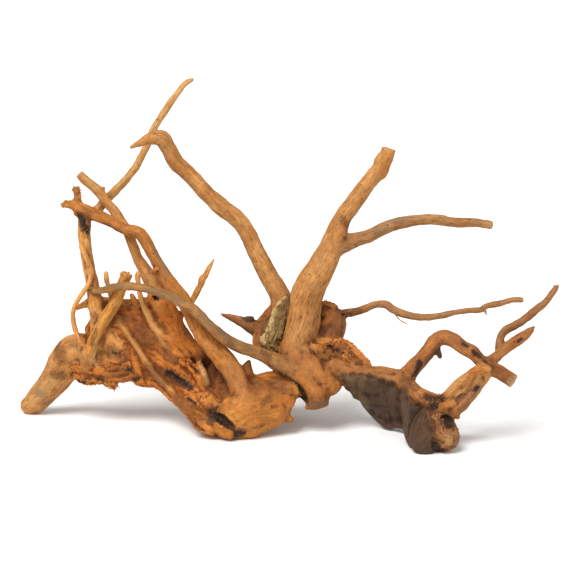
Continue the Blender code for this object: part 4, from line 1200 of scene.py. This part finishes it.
wood, tree, surface = start_material("sun_dried_azalea_root", IOR=1.45, Specular_IOR_Level=0.3)
stored = {
    name: add(tree, "ShaderNodeAttribute", take=part, attribute_name=name)
    for name, part in (("grain", "Vector"), ("clear", "Fac"), ("tone", "Color"), ("worn", "Fac"),
                       ("end_grain", "Fac"), ("crease", "Vector"), ("stain_and_shade", "Vector"))
}
here = add(tree, "ShaderNodeTexCoord", take="Object")
here = add(tree, "ShaderNodeVectorMath", {0: here, "Scale": 1 / MM}, operation="SCALE")
noise = {}
for name, place_in, cell, detail, roughness in (
    ("fibre", stored["grain"], (1.3, 1.3, 22), 3.0, 0.6), ("band", stored["grain"], (5, 5, 60), 2.0, 0.5),
    ("pore", stored["grain"], (0.9, 0.9, 7), 1.0, 0.5), ("blotch", here, (24, 24, 24), 4.0, 0.6),
    ("grit", here, (2.2, 2.2, 2.2), 3.0, 0.6), ("clump", here, (6, 6, 6), 3.0, 0.5),
):
    spot = add(tree, "ShaderNodeVectorMath", {0: place_in, 1: tuple(1 / size for size in cell)},
               operation="MULTIPLY")
    noise[name] = add(tree, "ShaderNodeTexNoise", {"Vector": spot, "Scale": 1.0, "Detail": detail,
                      "Roughness": roughness})
print("The wood has", len(noise), "noises")

# %% Tone, blotches and fibres
tone = stored["tone"]
warm = add(tree, "ShaderNodeMix", {0: 1.0, 6: tone, 7: shade("#e4d0b0")}, 2, data_type="RGBA",
           blend_type="MULTIPLY")
share = add(tree, "ShaderNodeMapRange", {0: noise["blotch"], 1: 0.42, 2: 0.62, 3: 0.0, 4: 0.75})
tone = add(tree, "ShaderNodeMix", {0: share, 6: tone, 7: warm}, 2, data_type="RGBA")
light = {}
for name, low, high, dark, pale in (  # the noise's range, and what it does to the light
    ("fibre", 0.3, 0.7, 0.68, 1.24), ("band", 0.3, 0.7, 0.86, 1.12),
    ("pore", 0.58, 0.7, 1.0, 0.55), ("grit", 0.3, 0.7, 0.9, 1.08),
):
    light[name] = add(tree, "ShaderNodeMapRange", {0: noise[name], 1: low, 2: high, 3: dark, 4: pale})
all_fibres = light["fibre"]
for name in ("band", "pore"):
    all_fibres = add(tree, "ShaderNodeMath", {0: all_fibres, 1: light[name]}, operation="MULTIPLY")
all_light = add(tree, "ShaderNodeMix", {0: stored["clear"], 2: light["grit"], 3: all_fibres},
                data_type="FLOAT")
all_light = add(tree, "ShaderNodeMath", {0: all_light, 1: light["grit"]}, operation="MULTIPLY")
tone = add(tree, "ShaderNodeVectorMath", {0: tone, "Scale": all_light}, operation="SCALE")
print("The wood's tone is lit by", len(light), "patterns")

# %% Dirt and painted shade in the creases, pale crests and pale end grain
fine_crease, broad_crease = add(tree, "ShaderNodeSeparateXYZ", {0: stored["crease"]}).node.outputs[:2]
# The creases and broad hollows are darkened: partly grime, partly painted shade.
fine_dirt_and_shade = add(tree, "ShaderNodeMapRange", {0: fine_crease, 1: 0.02, 2: 0.25, 3: 0.0, 4: 0.85})
broad_dirt_and_shade = add(tree, "ShaderNodeMapRange", {0: broad_crease, 1: 0.3, 2: 2.2, 3: 0.0, 4: 0.9})
dirt_and_shade = add(tree, "ShaderNodeMath", {0: fine_dirt_and_shade, 1: broad_dirt_and_shade}, operation="MAXIMUM")
soiled_and_shaded = add(tree, "ShaderNodeMix", {0: 1.0, 6: tone, 7: shade("#9c8672")}, 2, data_type="RGBA",
             blend_type="MULTIPLY")
tone = add(tree, "ShaderNodeMix", {0: dirt_and_shade, 6: tone, 7: soiled_and_shaded}, 2, data_type="RGBA")
crest = add(tree, "ShaderNodeMapRange", {0: fine_crease, 1: -0.05, 2: -0.35, 3: 0.0, 4: 0.5})
worn_tone = add(tree, "ShaderNodeVectorMath", {0: tone, "Scale": 1.48}, operation="SCALE")
for cover, colour in ((crest, worn_tone), (stored["end_grain"], shade("#b58a62"))):
    tone = add(tree, "ShaderNodeMix", {0: cover, 6: tone, 7: colour}, 2, data_type="RGBA")
print("Dirt, crests and end grain bring the tree to", len(tree.nodes), "nodes")

# %% Stains and painted shade, with broken edges
black, grey, brown = add(tree, "ShaderNodeSeparateXYZ", {0: stored["stain_and_shade"]}).node.outputs
tatter = add(tree, "ShaderNodeMath", {0: noise["clump"], 1: 0.5}, operation="SUBTRACT")
for name, weight in (("grit", 2.2), ("fibre", 1.0)):
    tatter = add(tree, "ShaderNodeMath", {0: noise[name], 1: weight, 2: tatter},
                 operation="MULTIPLY_ADD")
    tatter = add(tree, "ShaderNodeMath", {0: tatter, 1: weight / 2}, operation="SUBTRACT")
# The brown and black layers paint shade as well as stains.
layers = (  # strength, colour, where the broken edge starts and ends, and the thickest cover
    (stored["worn"], "#b98d54", 0.3, 0.9, 0.6), (brown, "#5b3013", 0.2, 1.0, 0.7),
    (grey, "#6b5d45", 0.2, 1.0, 0.58), (black, "#5a341a", 0.05, 0.7, 0.75),
    (black, "#1d140d", 0.45, 1.0, 0.95),
)
for strength, colour, low, high, most in layers:
    broken = add(tree, "ShaderNodeMath", {0: tatter, 1: 1.0, 2: strength}, operation="MULTIPLY_ADD")
    cover = add(tree, "ShaderNodeMapRange", {0: broken, 1: low, 2: high, 3: 0.0, 4: most})
    there = add(tree, "ShaderNodeMath", {0: strength, 1: 0.02}, operation="GREATER_THAN")
    cover = add(tree, "ShaderNodeMath", {0: cover, 1: there}, operation="MULTIPLY")
    tone = add(tree, "ShaderNodeMix", {0: cover, 6: tone, 7: shade(colour)}, 2, data_type="RGBA")
print(len(layers), "layers of stain lie on the wood")

# %% Borer holes with painted shade inside, matt sheen and fine fibre relief
holes = add(tree, "ShaderNodeTexVoronoi", {"Vector": here, "Scale": 1 / 9}).node.outputs
near_hole = add(tree, "ShaderNodeMapRange", {0: holes["Distance"], 1: 0.05, 2: 0.1, 3: 1.0, 4: 0.0})
few = add(tree, "ShaderNodeSeparateXYZ", {0: holes["Color"]})
few = add(tree, "ShaderNodeMath", {0: few, 1: 0.72}, operation="GREATER_THAN")
hole = add(tree, "ShaderNodeMath", {0: near_hole, 1: few}, operation="MULTIPLY")
# painted shade: each borer hole is darkened inside
tone = add(tree, "ShaderNodeMix", {0: hole, 6: tone, 7: shade("#2e1d12")}, 2, data_type="RGBA")
dull = add(tree, "ShaderNodeMapRange", {0: noise["fibre"], 1: 0.3, 2: 0.7, 3: 0.78, 4: 0.58})
height = add(tree, "ShaderNodeMath", {0: noise["fibre"], 1: stored["clear"]}, operation="MULTIPLY")
for pattern, weight in ((noise["grit"], 0.6), (hole, -1.5)):
    height = add(tree, "ShaderNodeMath", {0: pattern, 1: weight, 2: height}, operation="MULTIPLY_ADD")
bump = add(tree, "ShaderNodeBump", {"Height": height, "Strength": 1.0, "Distance": 0.9 * MM})
for title, socket in (("Base Color", tone), ("Roughness", dull), ("Normal", bump)):
    tree.links.new(socket, surface.inputs[title])
root.data.materials.clear()
root.data.materials.append(wood)
print("The wood's material has", len(tree.nodes), "nodes")

# %% [markdown]
# ## A remnant of old bark
#
# Between the trunk and the hooked limb a flake of the old bark is left. It is corky and pitted, and
# grey-brown to the right, with a pale crust of dried lichen on its left edge. A flat slab with a bump
# would show no depth from the side. So it is one more limb, with lumps fused to it, and the relief
# tree is set much deeper. The lichen is a colour: noise breaks it up, and it thins out to the right.

# %% The flake
FLAKE_VOXEL, PIT_ROUNDS = 0.7, 8
flake_limb = lay_limb(90, "old_bark_flake", 0.5, (
    (288.5, 296.5, 89, 1.6), (286, 301, 87, 4.6), (282, 308.5, 86, 7.6), (279, 317, 85, 8.2),
    (275.6, 326, 84, 8), (272.4, 334, 84, 8.4), (270.4, 341, 83, 8.4), (272.6, 348, 83, 5.6),
    (276, 354, 83, 1.6)))
flake_bumps = [
    lay_limb(91 + number, f"bark_bump_{number}", 1.0, (start, end))
    for number, (start, end) in enumerate((
        ((263.5, 339, 82, 3.6), (264, 343.5, 82, 3)), ((281, 333, 81, 3), (279, 338, 81, 2.6)),
        ((272, 346, 80, 3), (276, 350, 80, 2.4)),
    ))
]
flake = tubes_object("old_bark_flake", [flake_limb, *flake_bumps])
shape(flake, "REMESH", mode="VOXEL", voxel_size=FLAKE_VOXEL * MM)
shape(flake, "SMOOTH", **SMOOTHING)
spots = spots_of(flake.data)
write_attribute(flake.data, "grain", spots)
write_attribute(flake.data, "coarse", np.ones(len(spots)))
weather(flake, furrow_depth=1.0, furrow_width=3.0, furrow_length=12.0, ridge_depth=1.2,
        ridge_width=6.0, crumb_depth=1.0, crumb_size=3.6, lump_depth=1.0, lump_size=7.0, seed=2.0)
shape(flake, "DECIMATE", ratio=0.6)
flake.data.shade_smooth()


def flake_side(spots):
    """From 0 at the flake's left edge to 1 at its right edge, as the eye sees it."""
    away = spots[:, None] - flake_limb["middles"]
    pick = (away**2).sum(2).argmin(1)
    across = away[np.arange(len(spots)), pick] @ RIGHT / flake_limb["radii"][pick]
    return np.clip(0.5 + 0.5 * across, 0, 1)


spots = spots_of(flake.data)
write_attribute(flake.data, "side", flake_side(spots))
write_attribute(flake.data, "pit", creases(flake.data, PIT_ROUNDS))
print("The flake has", len(flake.data.polygons), "faces")

# %% Corky bark with dried lichen: dull, grey-brown, straw yellow where the lichen is, painted shade in its pits
bark, tree, surface = start_material(
    "corky_bark_with_lichen", Roughness=0.9, Specular_IOR_Level=0.2)
side = add(tree, "ShaderNodeAttribute", take="Fac", attribute_name="side")
pit = add(tree, "ShaderNodeAttribute", take="Fac", attribute_name="pit")
here = add(tree, "ShaderNodeTexCoord", take="Object")
patch, speck = (
    add(tree, "ShaderNodeTexNoise", {"Vector": here, "Scale": 1 / (cell * MM), "Detail": detail,
        "Roughness": roughness})
    for cell, detail, roughness in ((7, 4.0, 0.65), (1.4, 3.0, 0.6))
)
cover = add(tree, "ShaderNodeMath", {0: patch, 1: side}, operation="SUBTRACT")
cover = add(tree, "ShaderNodeMapRange", {0: cover, 1: 0.12, 2: 0.36})
cork, crust = (
    add(tree, "ShaderNodeMix", {0: pattern, 6: shade(dark), 7: shade(pale)}, 2, data_type="RGBA")
    for pattern, dark, pale in ((patch, "#5e4429", "#8d7044"), (speck, "#977640", "#d6bb82"))
)
# painted shade: the bark is darker the deeper a pit is
pit_shade = add(tree, "ShaderNodeMapRange", {0: pit, 1: 0.2, 2: 1.0})
tone = cork
for share, colour in ((cover, crust), (pit_shade, shade("#3a2818"))):
    tone = add(tree, "ShaderNodeMix", {0: share, 6: tone, 7: colour}, 2, data_type="RGBA")
bump = add(tree, "ShaderNodeBump", {"Height": speck, "Strength": 0.9, "Distance": 0.6 * MM})
for title, socket in (("Base Color", tone), ("Normal", bump)):
    tree.links.new(socket, surface.inputs[title])
flake.data.materials.append(bark)
print("The bark's material has", len(tree.nodes), "nodes")

# %% [markdown]
# ## Frayed ends and torn fibres
#
# Where a limb broke, its fibres pulled out into a brush, and torn edges of the plate carry a short
# fringe. Hair would do for a picture, but it is no mesh that others can use. All of these are one thing
# repeated: a bent, tapered fibre. So one Geometry Nodes tree makes them all, from a mesh of bare
# points. Each point lies on the skin and carries the way and the length that its fibre takes.

# %% One fibre: a bent line of unit length with a ring swept along it
fibres, given = start_tree("torn_fibres", {"Thickness": 0.5, "Bend": 1.0, "Tip Share": 0.25, "Seed": 5.0},
                           takes_material=True)
line = add(fibres, "GeometryNodeCurvePrimitiveLine", {"End": (0, 0, 1)})
line = add(fibres, "GeometryNodeResampleCurve", {"Curve": line, "Count": 7})
along = add(fibres, "GeometryNodeSplineParameter")
bow = add(fibres, "ShaderNodeMath", {0: along, 1: 2.0}, operation="POWER")
wave = add(fibres, "ShaderNodeMath", {0: along, 1: 7.0}, operation="MULTIPLY")
wave = add(fibres, "ShaderNodeMath", {0: wave}, operation="SINE")
wave = add(fibres, "ShaderNodeMath", {0: wave, 1: 0.25}, operation="MULTIPLY")
shift = add(fibres, "ShaderNodeCombineXYZ", {0: bow, 1: wave})
bend = add(fibres, "ShaderNodeMath", {0: given["Bend"], 1: MM}, operation="MULTIPLY")
shift = add(fibres, "ShaderNodeVectorMath", {0: shift, "Scale": bend}, operation="SCALE")
line = add(fibres, "GeometryNodeSetPosition", {0: line, 3: shift})
taper = add(fibres, "ShaderNodeMapRange", {0: along, 3: 1.0, 4: given["Tip Share"]})
ring = add(fibres, "GeometryNodeCurvePrimitiveCircle", {0: 4, 4: 0.5 * MM})
tube = add(fibres, "GeometryNodeCurveToMesh", {0: line, 1: ring, "Fill Caps": True, "Scale": taper})
print("One fibre takes", len(fibres.nodes), "nodes")

# %% Many fibres: one on each point, along the point's aim and rolled by chance
aim = add(fibres, "GeometryNodeInputNamedAttribute", {0: "aim"}, data_type="FLOAT_VECTOR")
length = add(fibres, "ShaderNodeVectorMath", {0: aim}, "Value", operation="LENGTH")
girth = add(fibres, "GeometryNodeInputNamedAttribute", {0: "girth"}, data_type="FLOAT")
girth = add(fibres, "ShaderNodeMath", {0: girth, 1: given["Thickness"]}, operation="MULTIPLY")
size = add(fibres, "ShaderNodeCombineXYZ", {0: girth, 1: girth, 2: length})
turn = add(fibres, "FunctionNodeAlignRotationToVector", {"Vector": aim}, axis="Z")
roll = add(fibres, "FunctionNodeRandomValue", {2: 0.0, 3: math.tau, "Seed": given["Seed"]}, 1,
           data_type="FLOAT")
roll = add(fibres, "ShaderNodeCombineXYZ", {2: roll})
turn = add(fibres, "FunctionNodeRotateRotation", {0: turn, 1: roll}, rotation_space="LOCAL")
strewn = add(fibres, "GeometryNodeInstanceOnPoints", {"Points": given["Geometry"],
             "Instance": tube, "Rotation": turn, "Scale": size})
solid = add(fibres, "GeometryNodeRealizeInstances", {0: strewn})
coated = add(fibres, "GeometryNodeSetMaterial", {0: solid, 2: given["Material"]})
add(fibres, "NodeGroupOutput", {0: coated})
print("The fibre tree has", len(fibres.nodes), "nodes")

# %% Where the fibres grow: two places (across, down, back), way, spread, count, length and thickness
FRAYS = (
    ((61, 203, 88), (65, 208, 88), (-1.0, 0.1, 0.2), 0.5, 22, 2.6, 1.5),
    ((74, 190, 86), (79, 189, 86), (0.2, 1.0, 0.2), 0.6, 24, 2.8, 1.4),
    ((77, 194, 86), (80, 192, 86), (0.8, 0.5, 0.4), 0.6, 12, 3.0, 1.3),
    ((122, 274, 78), (131, 273, 78), (0.3, 1.0, 0.3), 0.5, 26, 2.4, 1.7),
    ((530, 330, 45), (533, 328, 45), (0.9, 0.4, 0.2), 0.6, 18, 4.0, 1.0),
    ((555, 290, 68), (557, 286, 69), (0.3, 1.0, 0.1), 0.5, 14, 3.5, 0.9),
    ((345, 340, 84), (356, 349, 80), (0.6, 0.7, 0.2), 0.8, 26, 2.4, 1.5),
    ((356, 349, 80), (371, 366, 76), (0.7, 0.6, 0.2), 0.8, 28, 2.4, 1.5),
    ((312, 347, 74), (330, 354, 72), (0.0, 0.3, 1.0), 0.9, 30, 2.2, 1.6),
    ((322, 303, 98), (336, 306, 98), (0.1, 1.0, 0.3), 0.8, 10, 2.2, 1.3),
    ((76, 382, 100), (100, 384, 98), (0.0, -1.0, 0.3), 0.6, 20, 2.4, 1.3),
    ((104, 386, 96), (120, 388, 95), (0.1, -1.0, 0.2), 0.5, 14, 3.4, 1.2),
    ((134, 384, 96), (162, 388, 92), (0.1, -1.0, 0.2), 0.6, 12, 2.2, 1.3),
    ((168, 392, 80), (178, 404, 72), (-0.7, -0.7, 0.1), 0.5, 8, 3.0, 0.9),
    ((376, 380, 60), (408, 384, 50), (0.0, -0.8, 0.7), 0.8, 36, 2.6, 1.2),
    ((404, 372, 52), (412, 384, 48), (-0.2, 0.6, 0.7), 0.8, 30, 3.2, 1.1),
    ((186, 356, 80), (200, 368, 76), (0.3, 0.3, 1.0), 0.8, 40, 3.0, 1.2),
    ((200, 362, 76), (198, 366, 76), (-0.3, 0.8, 0.6), 0.4, 12, 6.0, 1.1),
    ((148, 300, 88), (170, 300, 88), (0.0, 0.8, 0.6), 0.8, 24, 3.4, 1.0),
    ((220, 314, 96), (226, 316, 97), (-1.0, 0.3, 0.0), 0.4, 10, 3.4, 0.9),
    ((424, 398, 40), (446, 404, 30), (0.0, 0.5, 0.9), 0.8, 30, 2.6, 1.1),
    ((432, 446, 8), (452, 446, 6), (0.1, -0.2, 0.9), 0.6, 16, 2.2, 1.3),
    ((458, 340, 30), (478, 352, 27), (0.2, 0.9, 0.2), 0.7, 8, 3.4, 0.6),
    ((484, 312, 112), (487, 312, 112), (0.5, -0.9, 0.2), 0.3, 5, 4.0, 1.2),
)
print(sum(row[4] for row in FRAYS), "fibres are to grow")

# %% Points on the skin for the fibres
JITTER, SUNK, FLOOR_GAP = 1.2, 0.4, 1.0  # mm
OUTWARD_LEAN, WAYWARDNESS = 0.5, 0.6
LENGTHS, GIRTHS = (0.45, 1.15), (0.6, 1.4)  # shares of a row's length and thickness
chance = np.random.default_rng(7)


def fibre_points(name, rows):
    """Points on the skin that carry the way and the thickness of their fibres."""
    bases, ways, girths = [], [], []
    for start, end, way, spread, count, length, girth in rows:
        ends = place([(*start, 0), (*end, 0)])[:, :3]
        heading = way[0] * RIGHT + way[1] * UP - way[2] * INWARD
        for share in chance.random(count):
            spot = ends[0] + share * (ends[1] - ends[0]) + chance.normal(0, JITTER, 3)
            base, out = skin_tree.find_nearest(Vector(spot * MM))[:2]
            aim = heading / np.linalg.norm(heading) + OUTWARD_LEAN * np.array(out)
            aim = aim + spread * chance.normal(0, WAYWARDNESS, 3)
            aim *= length * chance.uniform(*LENGTHS) / np.linalg.norm(aim)
            foot = np.array(base) / MM - SUNK * np.array(out)
            aim[2] = max(aim[2], FLOOR_GAP - foot[2])
            bases.append(foot)
            ways.append(aim * MM)
            girths.append(girth * chance.uniform(*GIRTHS))
    points = mesh_object(name, bases, [])
    write_attribute(points.data, "aim", ways)
    write_attribute(points.data, "girth", girths)
    write_attribute(points.data, "tone", read_limbs(np.array(bases))["tone"])
    return points


frayed = fibre_points("torn_fibres", FRAYS)
print("There are", len(frayed.data.vertices), "points")


# %% Grow the fibres of torn wood: the colour of the limb they grow from, a little paler, and matt
def grow_fibres(piece, material, **values):
    """Runs the fibre tree on the points, and keeps the plain mesh."""
    modifier = piece.modifiers.new("fibres", "NODES")
    modifier.node_group = fibres
    set_inputs(modifier, fibres, material=material, **values)
    apply_modifiers(piece)
    piece.data.shade_smooth()


# Wood torn along its grain stands up in loose fibres, which scatter the light and look dry.
fibre_wood, tree, surface = start_material("torn_wood_fibre", Roughness=0.8, Specular_IOR_Level=0.2)
tone = add(tree, "ShaderNodeAttribute", take="Color", attribute_name="tone")
here = add(tree, "ShaderNodeTexCoord", take="Object")
speck = add(tree, "ShaderNodeTexNoise", {"Vector": here, "Scale": 1 / (3 * MM), "Detail": 3.0})
light = add(tree, "ShaderNodeMapRange", {0: speck, 1: 0.3, 2: 0.7, 3: 0.7, 4: 1.5})
tone = add(tree, "ShaderNodeVectorMath", {0: tone, "Scale": light}, operation="SCALE")
tree.links.new(tone, surface.inputs["Base Color"])
grow_fibres(frayed, fibre_wood, thickness=1.0, bend=0.9)
print("The torn fibres have", len(frayed.data.polygons), "faces")

# %% [markdown]
# ## Hair roots
#
# A few hair-thin rootlets still hang from the hems of the plate and from the wavy limb. Each has its
# own curl, so chance wouldn't place them well. They are limbs again, half a millimetre thick, but kept
# apart from the skin, because a remesh would swallow them.

# %% Hair roots: thin curved tubes through places (across, down, back, radius)
HAIRS = (
    ((395, 314, 99, 0.5), (398, 318, 99, 0.45), (402, 321.5, 99, 0.4), (407, 323.5, 99, 0.3)),
    ((110, 384, 95, 0.5), (112, 388, 94, 0.4), (115, 391, 94, 0.25)),
    ((105, 384, 96, 0.5), (108, 388, 95, 0.35), (113, 389, 94, 0.25)),
    ((167, 389, 82, 0.5), (168, 395, 80, 0.45), (173, 401, 76, 0.45), (179, 404, 71, 0.4)),
    ((169, 390, 81, 0.5), (172, 398, 77, 0.4), (176, 402, 74, 0.3)),
    ((84, 381, 99, 0.5), (90, 385, 98, 0.4), (96, 383.5, 97, 0.3)),
    ((485, 310, 112, 0.8), (486, 312, 112, 0.6), (486, 315, 112, 0.4)),
)
hairs = tubes_object("hair_roots", [
    lay_limb(number, "hair_root", 1.0, path) for number, path in enumerate(HAIRS, start=200)
])
write_attribute(hairs.data, "tone", read_limbs(spots_of(hairs.data))["tone"])
hairs.data.materials.append(fibre_wood)
hairs.data.shade_smooth()
print("The hair roots have", len(hairs.data.polygons), "faces")

# %% [markdown]
# ## The studio
#
# The root stands on a matt white sheet that runs on far behind it, so the background is the floor. The
# light is that of a white tent: even from all round, with a soft main light high on the left.

# %% Floor, sky and lights
FLOOR_REACH = 20000
floor_rim = [(x * FLOOR_REACH, y * FLOOR_REACH, 0) for x, y in ((-1, -1), (1, -1), (1, 1), (-1, 1))]
floor = mesh_object("studio_floor", floor_rim, [(0, 1, 2, 3)])
# Matt white paper: bleached pulp without gloss, so it shows only soft shadows.
paper = start_material("matt_white_paper", Base_Color=shade("#f4f4f2"), Roughness=0.9)[0]
floor.data.materials.append(paper)

sky = bpy.data.worlds.new("white_tent")
sky.use_nodes = True
tent = sky.node_tree.nodes["Background"].inputs
tent["Color"].default_value = shade("#ffffff")
tent["Strength"].default_value = 0.55
scene.world = sky
scene.view_settings.view_transform = "Standard"

for title, strength, turn, tilt, width in (("main_light", 3.1, -35, 36, 34),
                                           ("fill_light", 0.4, 50, 55, 60)):
    lamp = bpy.data.lights.new(title, "SUN")
    lamp.energy = strength
    lamp.angle = math.radians(width)
    made = bpy.data.objects.new(title, lamp)
    made.rotation_euler = (math.radians(tilt), 0, math.radians(turn))
    scene.collection.objects.link(made)

# %% [markdown]
# ## Hand-over
#
# The skin stands for the imported part's node and rides on its one body. The floor is only the stage.

# %% Tie the pieces to the frame
for piece in (root, flake, frayed, hairs):
    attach(piece, "root")
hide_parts("spiderwood_root")
